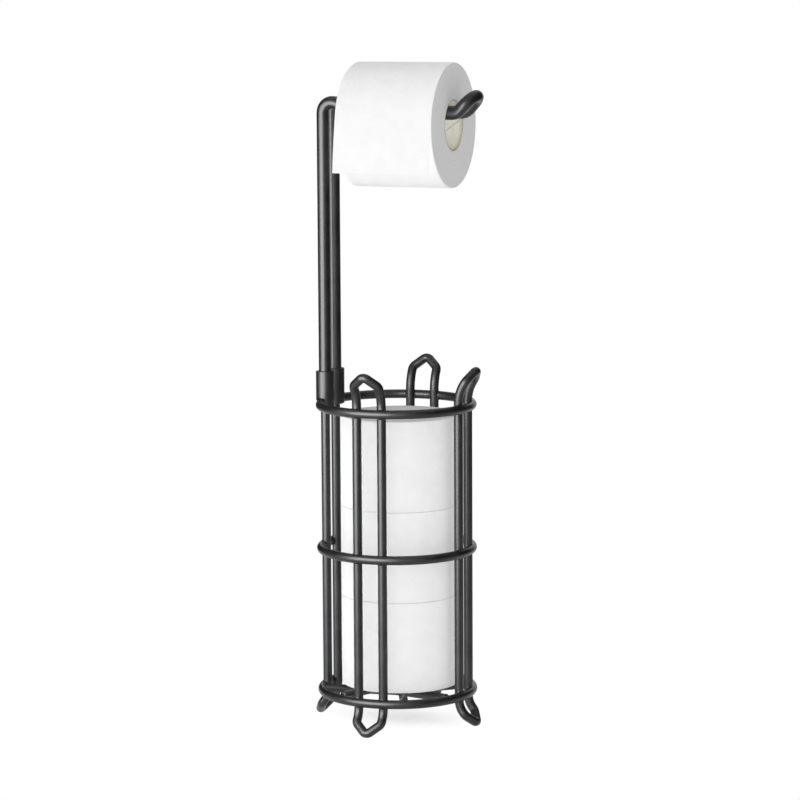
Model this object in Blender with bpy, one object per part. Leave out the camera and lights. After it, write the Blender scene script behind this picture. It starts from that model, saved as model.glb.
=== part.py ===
"""Freestanding toilet paper holder: a wire basket for spare rolls, and a plug-in hairpin arm over it.

Everything is in metres with +Z up. The origin lies on the floor on the basket's own axis, the arm points
along +X, and the front of the basket faces -Y.
"""

import math

import bmesh
import bpy
from mathutils import Matrix, Vector

# Basket rings
RING_OUTER_DIAMETER = 0.160
RING_WIRE = 0.009
LOWEST_RING_HEIGHT = 0.0322
RING_PITCH = 0.144
RING_COUNT = 3

# Leg wires: each pair ends in a pointed foot, and three of them in a pointed tip
LEG_WIRE = 0.009
PAIR_SPACING = 0.026
PAIR_INSET = 0.0045
FOOT_FLAT_DEPTH = 0.0004
FOOT_STRAIGHT = 0.0046
FOOT_BEND_RADIUS = 0.020
FOOT_LEAN = math.radians(38)
TIP_RISE = 0.0363
TIP_STRAIGHT = 0.0046
TIP_BEND_RADIUS = 0.038
TIP_LEAN = math.radians(34)
POINT_HALF_ANGLE = math.radians(46)
POINT_BEND_RADIUS = 0.005
SHOULDER_BEND_RADIUS = 0.007

# Base bars: bent wires back to back at the middle. The upper pair is level and carries the rolls. The lower
# pair is sunk into it where they cross, and rises from there to its welds on the lowest ring
BASE_WIRE = 0.0084
BAR_LAYER_OFFSET = 0.0031
LOWER_BAR_END_RISE = 0.0014
BAR_END_ANGLE = math.radians(26.5)
BAR_BEND_RADIUS = 0.012
BAR_END_SHARE = 0.25

# Sockets that stand on the top ring
SLEEVE_DIAMETER = 0.0183
SLEEVE_TOP_RISE = 0.032
SLEEVE_BOTTOM_DROP = 0.0029
SLEEVE_CHAMFER = 0.0006
SOCKET_DEPTH = 0.025

# Upright and arm, one bent tube
ROD_DIAMETER = 0.0124
ROD_WALL = 0.0012
UPRIGHT_TOP_HEIGHT = 0.6254
UPRIGHT_BEND_RADIUS = 0.0104
ARM_HEIGHT = 0.6096
ARM_END_BEND_RADIUS = 0.010
ARM_END_LEAN = math.radians(47)
ARM_END_STRAIGHT = 0.005

# Spare rolls, which clear the leg wires and stand a little towards the right ones
SPARE_SIDE_CLEARANCE = 0.0075
SPARE_SHIFT = 0.0032
SPARE_ROLL_HEIGHT = 0.0901
SPARE_ROLL_COUNT = 3

# The roll in use, and what both kinds of roll share
HANGING_ROLL_DIAMETER = 0.123
HANGING_ROLL_WIDTH = 0.100
ROLL_START_GAP = 0.0055
ROLL_END_GAP = 0.0036
ROLL_EDGE_RADIUS = 0.0015
CORE_BORE_DIAMETER = 0.0484
CORE_WALL = 0.0009

# Loose end of the hanging roll
SHEET_THICKNESS = 0.0008
SHEET_WRAP_ANGLE = math.radians(62)
SHEET_LEAVE_ANGLE = math.radians(10)
SHEET_TAIL_LENGTH = 0.0555
SHEET_TAIL_BEND_RADIUS = 0.55

# Clearances
JOINT_GAP = 0.0003
SLIDE_CLEARANCE = 0.0003
CUT_OVERRUN = 0.004
MERGE_DISTANCE = 0.000001

# Facets
BEND_STEP = math.radians(15)
WIRE_BEVEL_RESOLUTION = 3
RING_STEPS = 60
RING_WIRE_SIDES = 10
SLEEVE_STEPS = 24
ROLL_STEPS = 40
EDGE_SEGMENTS = 2
TAIL_STEPS = 5
SMOOTH_ANGLE = math.radians(35)

# Sizes worked out from those above
ring_radius = (RING_OUTER_DIAMETER - RING_WIRE) / 2
ring_heights = [LOWEST_RING_HEIGHT + level * RING_PITCH for level in range(RING_COUNT)]
top_ring_height = ring_heights[-1]
pair_plane = ring_radius - PAIR_INSET
half_spacing = PAIR_SPACING / 2
upper_bar_height = LOWEST_RING_HEIGHT + BAR_LAYER_OFFSET
lower_bar_height = LOWEST_RING_HEIGHT - BAR_LAYER_OFFSET
lower_bar_end_height = LOWEST_RING_HEIGHT + LOWER_BAR_END_RISE
socket_floor_height = top_ring_height + SLEEVE_TOP_RISE - SOCKET_DEPTH
crest_height = UPRIGHT_TOP_HEIGHT - ROD_DIAMETER / 2
arm_step_share = abs(crest_height - ARM_HEIGHT) / (2 * UPRIGHT_BEND_RADIUS)
arm_step_turn = math.acos(1 - min(1, arm_step_share))
arm_step_start = UPRIGHT_BEND_RADIUS - pair_plane
arm_level_start = arm_step_start + 2 * UPRIGHT_BEND_RADIUS * math.sin(arm_step_turn)
spare_roll_radius = pair_plane - LEG_WIRE / 2 - SPARE_SIDE_CLEARANCE
core_outer_diameter = CORE_BORE_DIAMETER + 2 * CORE_WALL
roll_drop = math.sqrt(
    (CORE_BORE_DIAMETER / 2 - ROD_DIAMETER / 2 - JOINT_GAP) ** 2 - half_spacing**2
)
hanging_axis_height = ARM_HEIGHT - roll_drop
hanging_roll_start = arm_level_start + ROLL_START_GAP
spare_floor_height = upper_bar_height + BASE_WIRE / 2 + JOINT_GAP

# Colours and finishes, as (red, green, blue, roughness, metallic)
BLACK_COAT = (0.030, 0.030, 0.032, 0.36, 0.25)
TISSUE = (0.86, 0.86, 0.86, 0.95, 0.0)
CARDBOARD = (0.62, 0.60, 0.50, 0.90, 0.0)


def clear_scene():
    """Removes whatever the file that is open holds."""
    for existing in list(bpy.data.objects):
        bpy.data.objects.remove(existing, do_unlink=True)


def material(name, finish):
    """A Principled BSDF with one colour, roughness and metallic value."""
    made = bpy.data.materials.new(name)
    made.use_nodes = True
    shader = made.node_tree.nodes["Principled BSDF"]
    shader.inputs["Base Color"].default_value = (*finish[:3], 1)
    shader.inputs["Roughness"].default_value = finish[3]
    shader.inputs["Metallic"].default_value = finish[4]
    made.diffuse_color = (*finish[:3], 1)
    return made


def add_object(name, mesh, finish, place=(0, 0, 0)):
    """Puts a mesh into the scene as a smooth-shaded object with its own material."""
    made = bpy.data.objects.new(name, mesh)
    made.location = place
    mesh.materials.clear()
    mesh.materials.append(material(name + "_finish", finish))
    mesh.shade_smooth()
    mesh.set_sharp_from_angle(angle=SMOOTH_ANGLE)
    bpy.context.scene.collection.objects.link(made)
    return made


def add_pivot(name, place):
    """An empty that carries the pieces of one moving body and stands on its joint."""
    pivot = bpy.data.objects.new(name, None)
    pivot.location = place
    bpy.context.scene.collection.objects.link(pivot)
    return pivot


def cut(target, cutter):
    """Takes the cutter's shape out of the target with a live Boolean."""
    cutter.hide_render = True
    cutter.hide_set(True)
    cutter.display_type = "WIRE"
    modifier = target.modifiers.new("cut_by_" + cutter.name, "BOOLEAN")
    modifier.operation = "DIFFERENCE"
    modifier.object = cutter


def mesh_from_bmesh(name, shape):
    """Closes a bmesh into a mesh whose faces point outwards."""
    bmesh.ops.remove_doubles(shape, verts=shape.verts, dist=MERGE_DISTANCE)
    bmesh.ops.recalc_face_normals(shape, faces=shape.faces)
    mesh = bpy.data.meshes.new(name)
    shape.to_mesh(mesh)
    shape.free()
    return mesh


def turned(name, profile, steps, axis=(0, 0, 1)):
    """A closed profile of (radius, height) points, turned once round the axis."""
    along = Vector(axis)
    outward = along.orthogonal().normalized()
    shape = bmesh.new()
    points = [shape.verts.new(outward * radius + along * height) for radius, height in profile]
    edges = [shape.edges.new((a, b)) for a, b in zip(points, points[1:] + points[:1])]
    bmesh.ops.spin(
        shape,
        geom=points + edges,
        cent=(0, 0, 0),
        axis=along,
        angle=math.tau,
        steps=steps,
        use_merge=True,
    )
    return mesh_from_bmesh(name, shape)


def extruded(name, outline, start, length):
    """A closed outline of (y, z) points, drawn out along X."""
    shape = bmesh.new()
    face = shape.faces.new([shape.verts.new((start, y, z)) for y, z in outline])
    drawn = bmesh.ops.extrude_face_region(shape, geom=[face])["geom"]
    moved = [item for item in drawn if isinstance(item, bmesh.types.BMVert)]
    bmesh.ops.translate(shape, verts=moved, vec=(length, 0, 0))
    return mesh_from_bmesh(name, shape)


def wire(name, path, diameter, closed=False, capped=True):
    """A round wire along a path of points, as the mesh of a bevelled curve."""
    curve = bpy.data.curves.new(name, "CURVE")
    curve.dimensions = "3D"
    curve.bevel_depth = diameter / 2
    curve.bevel_resolution = WIRE_BEVEL_RESOLUTION
    curve.use_fill_caps = capped and not closed
    spline = curve.splines.new("POLY")
    spline.points.add(len(path) - 1)
    for point, place in zip(spline.points, path):
        point.co = (*place, 1)
    spline.use_cyclic_u = closed
    guide = bpy.data.objects.new(name + "_guide", curve)
    bpy.context.scene.collection.objects.link(guide)
    seen = guide.evaluated_get(bpy.context.evaluated_depsgraph_get())
    shape = bmesh.new()
    shape.from_mesh(bpy.data.meshes.new_from_object(seen))
    bpy.data.objects.remove(guide, do_unlink=True)
    bpy.data.curves.remove(curve)
    return mesh_from_bmesh(name, shape)


def corner_arc(before, corner, after, radius):
    """The points of the arc that rounds one corner of a bent wire."""
    arriving = (corner - before).normalized()
    leaving = (after - corner).normalized()
    turn = arriving.angle(leaving)
    tangent = radius * math.tan(turn / 2)
    steps = max(1, math.ceil(turn / BEND_STEP))
    inward = (leaving - arriving).normalized()
    centre = corner + inward * (radius / math.cos(turn / 2))
    start = corner - arriving * tangent - centre
    normal = arriving.cross(leaving).normalized()
    return [
        centre + Matrix.Rotation(turn * step / steps, 3, normal) @ start for step in range(steps + 1)
    ]


def bent(corners, radii, closed=False):
    """Corner points joined by straight runs, with each corner rounded to its own radius."""
    corners = [Vector(corner) for corner in corners]
    count = len(corners)
    path = []
    for index, (corner, radius) in enumerate(zip(corners, radii)):
        is_end = not closed and index in (0, count - 1)
        if is_end:
            path.append(corner)
        else:
            path += corner_arc(corners[index - 1], corner, corners[(index + 1) % count], radius)
    return path[:1] + [b for a, b in zip(path, path[1:]) if (b - a).length > MERGE_DISTANCE]


def lean_length(rise, straight, radius, lean):
    """How much wire rises so far when it is straight at first, then bends, then leans out."""
    return straight + radius * lean + (rise - straight - radius * math.sin(lean)) / math.cos(lean)


def lean_out(travel, straight, radius, lean):
    """(outward, along) of a point that lies so far along a wire which leans out past a bend."""
    past = travel - straight
    if past <= 0:
        return 0, travel
    if past <= radius * lean:
        angle = past / radius
        return radius * (1 - math.cos(angle)), straight + radius * math.sin(angle)
    beyond = past - radius * lean
    outward = radius * (1 - math.cos(lean)) + beyond * math.sin(lean)
    return outward, straight + radius * math.sin(lean) + beyond * math.cos(lean)


def bend_marks(straight, radius, lean):
    """The distances along a wire at which its bend needs a point."""
    steps = math.ceil(lean / BEND_STEP)
    return [straight + radius * lean * step / steps for step in range(steps + 1)]


def with_marks(path, marks):
    """Adds a point to a flat path of (across, along) points wherever it passes a mark."""
    result = [path[0]]
    for start, end in zip(path, path[1:]):
        low, high = sorted((start.y, end.y))
        passed = [mark for mark in marks if low + MERGE_DISTANCE < mark < high - MERGE_DISTANCE]
        for mark in sorted(passed, reverse=start.y > end.y):
            result.append(start.lerp(end, (mark - start.y) / (end.y - start.y)))
        result.append(end)
    return result


# Length of wire from the lowest ring down to the end of the foot, and from the top ring up to the tip
foot_rise = LOWEST_RING_HEIGHT - (LEG_WIRE / 2 - FOOT_FLAT_DEPTH)
foot_length = lean_length(foot_rise, FOOT_STRAIGHT, FOOT_BEND_RADIUS, FOOT_LEAN)
tip_length = lean_length(TIP_RISE, TIP_STRAIGHT, TIP_BEND_RADIUS, TIP_LEAN)
point_overshoot = POINT_BEND_RADIUS * (1 / math.sin(POINT_HALF_ANGLE) - 1)
point_height = half_spacing / math.tan(POINT_HALF_ANGLE)


def place_leg_point(point, side):
    """Bends one (across, along) point of a flat leg wire out to its place on a side of the basket."""
    across, along = point.x, point.y
    foot_side = LOWEST_RING_HEIGHT - along
    tip_side = along - top_ring_height
    if foot_side > 0:
        outward, down = lean_out(foot_side, FOOT_STRAIGHT, FOOT_BEND_RADIUS, FOOT_LEAN)
        height = LOWEST_RING_HEIGHT - down
    elif tip_side > 0:
        outward, up = lean_out(tip_side, TIP_STRAIGHT, TIP_BEND_RADIUS, TIP_LEAN)
        height = top_ring_height + up
    else:
        outward, height = 0, along
    return Matrix.Rotation(side, 3, "Z") @ Vector((across, -pair_plane - outward, height))


def leg_path(side, top_height=None):
    """A leg wire's path: a closed loop with two points, or open at the top where a height is given."""
    foot_end = LOWEST_RING_HEIGHT - foot_length - point_overshoot
    foot_shoulder = foot_end + point_height
    tip_end = top_ring_height + tip_length + point_overshoot
    tip_shoulder = tip_end - point_height
    foot = [(-half_spacing, foot_shoulder, 0), (0, foot_end, 0), (half_spacing, foot_shoulder, 0)]
    bends = [SHOULDER_BEND_RADIUS, POINT_BEND_RADIUS, SHOULDER_BEND_RADIUS]
    if top_height is None:
        tip = [(half_spacing, tip_shoulder, 0), (0, tip_end, 0), (-half_spacing, tip_shoulder, 0)]
        flat = bent(foot + tip, bends + bends, closed=True)
        flat.append(flat[0])
    else:
        ends = [(-half_spacing, top_height, 0), (half_spacing, top_height, 0)]
        flat = bent([ends[0], *foot, ends[1]], [0, *bends, 0])
    marks = [LOWEST_RING_HEIGHT - mark for mark in bend_marks(FOOT_STRAIGHT, FOOT_BEND_RADIUS, FOOT_LEAN)]
    marks += [top_ring_height + mark for mark in bend_marks(TIP_STRAIGHT, TIP_BEND_RADIUS, TIP_LEAN)]
    flat = with_marks(flat, marks)
    if top_height is None:
        flat.pop()
    return [place_leg_point(point, side) for point in flat]


def ring_profile(height, growth=0):
    """The ring wire's round section, at its distance from the axis."""
    radius = RING_WIRE / 2 + growth
    return [
        (
            ring_radius + radius * math.cos(math.tau * side / RING_WIRE_SIDES),
            height + radius * math.sin(math.tau * side / RING_WIRE_SIDES),
        )
        for side in range(RING_WIRE_SIDES)
    ]


def build_rings():
    """The three rings, each notched where the leg wires cross it and are welded."""
    names = ("bottom_ring", "middle_ring", "top_ring")
    rings = []
    for name, height in zip(names, ring_heights):
        rings.append(add_object(name, turned(name, ring_profile(height), RING_STEPS), BLACK_COAT))
    notch_top = top_ring_height + RING_WIRE
    for index in range(4):
        for sign in (-1, 1):
            turn = Matrix.Rotation(index * math.pi / 2, 3, "Z")
            low = turn @ Vector((sign * half_spacing, -pair_plane, 0))
            high = turn @ Vector((sign * half_spacing, -pair_plane, notch_top))
            name = f"leg_notch_{index}_{'left' if sign < 0 else 'right'}"
            mesh = wire(name, [low, high], LEG_WIRE + 2 * JOINT_GAP)
            cutter = add_object(name, mesh, BLACK_COAT)
            for ring in rings:
                cut(ring, cutter)


def build_legs():
    """Three closed leg loops, and the left leg whose two ends stand in the sockets."""
    legs = []
    for name, side in (("front_leg_loop", 0), ("right_leg_loop", math.pi / 2), ("back_leg_loop", math.pi)):
        legs.append(add_object(name, wire(name, leg_path(side), LEG_WIRE, closed=True), BLACK_COAT))
    path = leg_path(-math.pi / 2, socket_floor_height - JOINT_GAP)
    legs.append(add_object("left_leg", wire("left_leg", path, LEG_WIRE), BLACK_COAT))
    floor_width = 2 * RING_OUTER_DIAMETER
    shape = bmesh.new()
    bmesh.ops.create_cube(shape, size=1)
    bmesh.ops.scale(shape, verts=shape.verts, vec=(floor_width, floor_width, 2 * CUT_OVERRUN))
    floor_mesh = mesh_from_bmesh("floor_cutter", shape)
    floor = add_object("floor_cutter", floor_mesh, BLACK_COAT, (0, 0, -CUT_OVERRUN))
    for leg in legs:
        cut(leg, floor)


def base_bar_path(side, height, end_height):
    """A bar's route from ring to ring, bent in the middle so that it just clears the axis."""
    end_radius = ring_radius - RING_WIRE * BAR_END_SHARE
    end_across = end_radius * math.cos(BAR_END_ANGLE)
    end_out = end_radius * math.sin(BAR_END_ANGLE)
    nearest = (BASE_WIRE + JOINT_GAP) / 2
    slope = math.atan2(end_out - nearest, end_across)
    middle = nearest - BAR_BEND_RADIUS * (1 / math.cos(slope) - 1)
    corners = [
        (-end_across, -end_out, end_height),
        (0, -middle, height),
        (end_across, -end_out, end_height),
    ]
    turn = Matrix.Rotation(side, 3, "Z")
    return [turn @ point for point in bent(corners, [0, BAR_BEND_RADIUS, 0])]


def build_base_bars():
    """Four bent bars in two layers: the lower pair runs left to right and the upper pair front to back."""
    name = "ring_weld_cutter"
    profile = ring_profile(LOWEST_RING_HEIGHT, JOINT_GAP)
    ring_cutter = add_object(name, turned(name, profile, RING_STEPS), BLACK_COAT)
    crossing_cutters = []
    for name, side in (("base_bar_right", math.pi / 2), ("base_bar_left", -math.pi / 2)):
        path = base_bar_path(side, upper_bar_height, upper_bar_height)
        bar = add_object(name, wire(name, path, BASE_WIRE), BLACK_COAT)
        cut(bar, ring_cutter)
        notch = wire(name + "_notch", path, BASE_WIRE + 2 * JOINT_GAP)
        crossing_cutters.append(add_object(name + "_notch", notch, BLACK_COAT))
    for name, side in (("base_bar_front", 0), ("base_bar_back", math.pi)):
        path = base_bar_path(side, lower_bar_height, lower_bar_end_height)
        bar = add_object(name, wire(name, path, BASE_WIRE), BLACK_COAT)
        for cutter in (ring_cutter, *crossing_cutters):
            cut(bar, cutter)


def sleeve_profile():
    """A socket's wall: a wide bore for the upright over a narrow one for the leg wire."""
    outer = SLEEVE_DIAMETER / 2
    wide = ROD_DIAMETER / 2 + SLIDE_CLEARANCE
    narrow = LEG_WIRE / 2 + JOINT_GAP
    top = top_ring_height + SLEEVE_TOP_RISE
    bottom = top_ring_height - SLEEVE_BOTTOM_DROP
    shoulder = socket_floor_height - JOINT_GAP
    return [
        (narrow, bottom),
        (outer - SLEEVE_CHAMFER, bottom),
        (outer, bottom + SLEEVE_CHAMFER),
        (outer, top - SLEEVE_CHAMFER),
        (outer - SLEEVE_CHAMFER, top),
        (wide + SLEEVE_CHAMFER, top),
        (wide, top - SLEEVE_CHAMFER),
        (wide, shoulder),
        (narrow, shoulder),
    ]


def build_sleeves():
    """Two sockets, coped over the top ring: they stand on it and lap its inner side."""
    grown = RING_WIRE / 2 + JOINT_GAP
    far = ring_radius + SLEEVE_DIAMETER
    low = top_ring_height - SLEEVE_BOTTOM_DROP - CUT_OVERRUN
    steps = RING_WIRE_SIDES // 2
    arc = [
        (
            ring_radius - grown * math.cos(math.pi / 2 * step / steps),
            top_ring_height + grown * math.sin(math.pi / 2 * step / steps),
        )
        for step in range(steps + 1)
    ]
    saddle = [(ring_radius - grown, low), *arc, (far, top_ring_height + grown), (far, low)]
    cutter_mesh = turned("saddle_cutter", saddle, RING_STEPS)
    cutter = add_object("saddle_cutter", cutter_mesh, BLACK_COAT)
    for name, sign in (("front_sleeve", -1), ("rear_sleeve", 1)):
        mesh = turned(name, sleeve_profile(), SLEEVE_STEPS)
        mesh.transform(Matrix.Translation((-pair_plane, sign * half_spacing, 0)))
        sleeve = add_object(name, mesh, BLACK_COAT)
        cut(sleeve, cutter)


def arm_front_half():
    """The corners of the tube's route from the front socket to the middle of its end bend.

    It bends level at the crest, steps down to the arm's height in an S, and leans up past the roll.
    """
    across = -half_spacing
    step_bend = UPRIGHT_BEND_RADIUS * math.tan(arm_step_turn / 2)
    foot = Vector((-pair_plane, across, socket_floor_height))
    crest = Vector((-pair_plane, across, crest_height))
    over = Vector((arm_step_start + step_bend, across, crest_height))
    level = Vector((arm_level_start - step_bend, across, ARM_HEIGHT))
    end_turn = ARM_END_BEND_RADIUS * math.tan(ARM_END_LEAN / 2)
    level_end = hanging_roll_start + HANGING_ROLL_WIDTH + ROLL_END_GAP
    rise_corner = Vector((level_end + end_turn, across, ARM_HEIGHT))
    lean = Vector((math.cos(ARM_END_LEAN), 0, math.sin(ARM_END_LEAN)))
    tip_corner = rise_corner + lean * (end_turn + ARM_END_STRAIGHT + half_spacing)
    middle = Vector((tip_corner.x, 0, tip_corner.z))
    return [foot, crest, over, level, rise_corner, tip_corner, middle]


def arm_path():
    """The whole tube, from the front socket out round the end bend and back to the rear socket."""
    step_bends = [UPRIGHT_BEND_RADIUS] * 3
    half = bent(arm_front_half(), [0, *step_bends, ARM_END_BEND_RADIUS, half_spacing, 0])
    other = [Vector((point.x, -point.y, point.z)) for point in reversed(half)]
    return half + other[1:]


def build_upright():
    """The upright and arm: one tube, open at both ends, that plugs into the two sockets."""
    pivot = add_pivot("upright_pivot", (-pair_plane, 0, socket_floor_height))
    mesh = wire("upright_arm", arm_path(), ROD_DIAMETER, capped=False)
    mesh.transform(Matrix.Translation(-pivot.location))
    tube = add_object("upright_arm", mesh, BLACK_COAT)
    tube.parent = pivot
    wall = tube.modifiers.new("wall", "SOLIDIFY")
    wall.thickness = ROD_WALL
    wall.offset = -1
    wall.use_even_offset = True
    return pivot


def paper_profile(radius, length):
    """The paper's section: a thick wall with rounded outer edges."""
    inner = core_outer_diameter / 2 + JOINT_GAP
    quarter = [math.pi / 2 * step / EDGE_SEGMENTS for step in range(EDGE_SEGMENTS + 1)]
    centre = radius - ROLL_EDGE_RADIUS
    low = [
        (centre + ROLL_EDGE_RADIUS * math.sin(a), ROLL_EDGE_RADIUS * (1 - math.cos(a))) for a in quarter
    ]
    high = [(reach, length - height) for reach, height in reversed(low)]
    return [(inner, 0), *low, *high, (inner, length)]


def core_profile(length):
    """The cardboard tube's section."""
    inner = CORE_BORE_DIAMETER / 2
    outer = core_outer_diameter / 2
    return [(inner, 0), (outer, 0), (outer, length), (inner, length)]


def add_roll(prefix, radius, length, pivot, axis=(0, 0, 1)):
    """A roll of paper on its cardboard core, both carried by the pivot."""
    profiles = {"paper": paper_profile(radius, length), "core": core_profile(length)}
    for kind, finish in (("paper", TISSUE), ("core", CARDBOARD)):
        name = f"{prefix}_{kind}"
        piece = add_object(name, turned(name, profiles[kind], ROLL_STEPS, axis), finish)
        piece.parent = pivot


def build_spare_rolls():
    """The stack in the basket, from the base bars up. Each roll's pivot stands on the one below."""
    names = ("spare_roll_bottom", "spare_roll_middle", "spare_roll_top")
    below = None
    place = (SPARE_SHIFT, 0, spare_floor_height)
    for name in names[:SPARE_ROLL_COUNT]:
        pivot = add_pivot(name + "_pivot", place)
        pivot.parent = below
        add_roll(name, spare_roll_radius, SPARE_ROLL_HEIGHT, pivot)
        below = pivot
        place = (0, 0, SPARE_ROLL_HEIGHT + JOINT_GAP)


def sheet_outline():
    """The loose sheet's section about the roll's axis: wrapped on the roll, then hanging away from it."""
    inner = HANGING_ROLL_DIAMETER / 2 + JOINT_GAP
    middle = inner + SHEET_THICKNESS / 2
    wrap = SHEET_WRAP_ANGLE - SHEET_LEAVE_ANGLE
    steps = math.ceil(wrap * ROLL_STEPS / math.tau)
    spine = []
    for step in range(steps + 1):
        angle = SHEET_WRAP_ANGLE - wrap * step / steps
        spine.append((-middle * math.cos(angle), middle * math.sin(angle), angle))
    tail_turn = SHEET_TAIL_LENGTH / SHEET_TAIL_BEND_RADIUS
    y, z, heading = spine[-1]
    run = SHEET_TAIL_LENGTH / TAIL_STEPS
    for _ in range(TAIL_STEPS):
        heading -= tail_turn / TAIL_STEPS
        y -= run * math.sin(heading)
        z -= run * math.cos(heading)
        spine.append((y, z, heading))
    half = SHEET_THICKNESS / 2
    outer = [(y - half * math.cos(a), z + half * math.sin(a)) for y, z, a in spine]
    inner_side = [(y + half * math.cos(a), z - half * math.sin(a)) for y, z, a in spine]
    return outer + inner_side[::-1]


def build_hanging_roll(upright):
    """The roll in use, whose core hangs on the arm's two rods."""
    pivot = add_pivot("hanging_roll_pivot", (hanging_roll_start, 0, hanging_axis_height))
    pivot.parent = upright
    pivot.matrix_parent_inverse = Matrix.Translation(-upright.location)
    hanging_radius = HANGING_ROLL_DIAMETER / 2
    add_roll("hanging_roll", hanging_radius, HANGING_ROLL_WIDTH, pivot, axis=(1, 0, 0))
    mesh = extruded("loose_sheet", sheet_outline(), 0, HANGING_ROLL_WIDTH)
    sheet = add_object("loose_sheet", mesh, TISSUE)
    sheet.parent = pivot


def main():
    clear_scene()
    build_rings()
    build_legs()
    build_base_bars()
    build_sleeves()
    upright = build_upright()
    build_spare_rolls()
    build_hanging_roll(upright)
    bpy.context.view_layer.update()


main()
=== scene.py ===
"""Looks of a freestanding toilet paper holder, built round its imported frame.

Wires, sockets, arm, paper rolls, cores and the loose sheet are numpy surfaces on the centre lines of the
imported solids, each with a procedural finish. Everything is in metres, +Z up, with the front towards -Y.
"""

import logging
import math
from collections.abc import Mapping, Sequence
from dataclasses import dataclass, field
from enum import Enum
from typing import Union

import bpy
import numpy as np
from mathutils import Matrix, Vector


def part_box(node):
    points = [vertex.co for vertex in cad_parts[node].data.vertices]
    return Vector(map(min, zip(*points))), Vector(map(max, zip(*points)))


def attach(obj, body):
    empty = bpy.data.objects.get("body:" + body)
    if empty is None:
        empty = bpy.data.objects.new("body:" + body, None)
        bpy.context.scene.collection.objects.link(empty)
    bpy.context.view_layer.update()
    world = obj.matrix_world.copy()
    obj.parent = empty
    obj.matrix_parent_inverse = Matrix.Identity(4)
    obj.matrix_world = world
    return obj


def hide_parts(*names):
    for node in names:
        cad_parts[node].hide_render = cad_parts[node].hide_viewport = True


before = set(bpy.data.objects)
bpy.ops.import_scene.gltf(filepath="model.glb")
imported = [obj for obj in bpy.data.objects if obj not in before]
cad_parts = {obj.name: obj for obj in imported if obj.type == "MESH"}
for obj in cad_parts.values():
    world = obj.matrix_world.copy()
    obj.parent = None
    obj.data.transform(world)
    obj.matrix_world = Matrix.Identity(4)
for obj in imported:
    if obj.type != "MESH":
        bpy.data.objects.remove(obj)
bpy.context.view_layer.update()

log = logging.getLogger("paper_holder")

Array = np.ndarray
Number = Union[int, float]
Operand = Union["Signal", Number]
Colour = tuple[float, float, float]
Tint = Union["Signal", Colour]
Span = tuple[float, float]
Owner = Union[bpy.types.Material, bpy.types.World]

MILLIMETRE = 0.001
SAME_PLACE = 1e-7
STEP_SLACK = 0.001
QUARTER_TURN = math.pi / 2
SHARP_ANGLE = math.radians(40)
NOISE_MIDDLE = 0.5
MIX_FIRST, MIX_SECOND, MIX_RESULT = 6, 7, 2
WHITE = (1.0, 1.0, 1.0)
UPWARD = np.array([0.0, 0.0, 1.0])


class Body(Enum):
    """The bodies that move on their own."""

    BASKET = "basket"
    UPRIGHT = "upright"
    HANGING_ROLL = "hanging_roll"
    SPARE_BOTTOM = "spare_roll_bottom"
    SPARE_MIDDLE = "spare_roll_middle"
    SPARE_TOP = "spare_roll_top"


class Slot(Enum):
    """The finishes that the record names."""

    COAT = "black_coat"
    TISSUE = "tissue"
    BOARD = "core_board"


class Side(Enum):
    """A side of the basket, as its number of quarter turns from the front."""

    FRONT = 0
    RIGHT = 1
    BACK = 2
    LEFT = 3

    def turn(self, points: Array) -> Array:
        """Turns what was drawn at the front about the basket's axis to this side.

        Args:
            points: Points or directions, ... x 3.

        Returns:
            (x cos a - y sin a, x sin a + y cos a, z) for this side's angle a.
        """
        angle = self.value * QUARTER_TURN
        cosine, sine = round(math.cos(angle)), round(math.sin(angle))
        x, y, z = np.moveaxis(points, -1, 0)
        return np.stack([cosine * x - sine * y, sine * x + cosine * y, z], axis=-1)


class Axis(Enum):
    """The direction that a paper roll's axis has."""

    UP = "up"
    ALONG_ARM = "along_arm"


class Use(Enum):
    """What a studio lamp is for."""

    FILL = "lights matt surfaces, and the coat's gloss doesn't show it"
    CARD = "is mirrored in the coat's gloss, and lights nothing matt"


def unit(vectors: Array) -> Array:
    """Each vector divided by its own length."""
    return vectors / np.linalg.norm(vectors, axis=-1, keepdims=True)


def facing(vectors: Array, towards: Array) -> Array:
    """Unit vectors, each turned round where it points away from its own reference."""
    sign = np.sign(np.einsum("ij,ij->i", vectors, towards))
    return unit(vectors) * np.where(sign == 0, 1, sign)[:, None]


def ripple(places: Array, wavelengths: Sequence[float], seed: int) -> Array:
    """A smooth, irregular wave between -1 and 1: the mean of sines with seeded phases.

    Args:
        places: Where the wave is read, in metres.
        wavelengths: The length of each sine, in metres.
        seed: Chooses the phases.

    Returns:
        The wave's height at each place.
    """
    phases = np.random.default_rng(seed).uniform(0, math.tau, len(wavelengths))
    waves = [np.sin(math.tau * places / length + phase) for length, phase in zip(wavelengths, phases)]
    return sum(waves) / len(waves)


def smooth_step(values: Array, low: float, high: float) -> Array:
    """0 below low, 1 above high, and 3t^2 - 2t^3 between them."""
    share = np.clip((values - low) / (high - low), 0, 1)
    return share * share * (3 - 2 * share)


def bow(first: Array, corner: Array, last: Array, share: Array) -> Array:
    """The curve (1 - u)^2 * A + 2u(1 - u) * C + u^2 * B, from A to B and drawn in towards a corner C."""
    return (1 - share) ** 2 * first + 2 * share * (1 - share) * corner + share**2 * last


def arc(centre: Sequence[float], radius: float, start: float, stop: float, count: int) -> Array:
    """The points c + r * (cos a, sin a) for so many angles a from start to stop."""
    angles = np.linspace(start, stop, count)
    return np.asarray(centre) + radius * np.column_stack([np.cos(angles), np.sin(angles)])


def path_lengths(path: Array) -> Array:
    """The distance along a path from its first point to each of its points."""
    steps = np.linalg.norm(np.diff(path, axis=0), axis=1)
    return np.concatenate([[0], np.cumsum(steps)])


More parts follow.
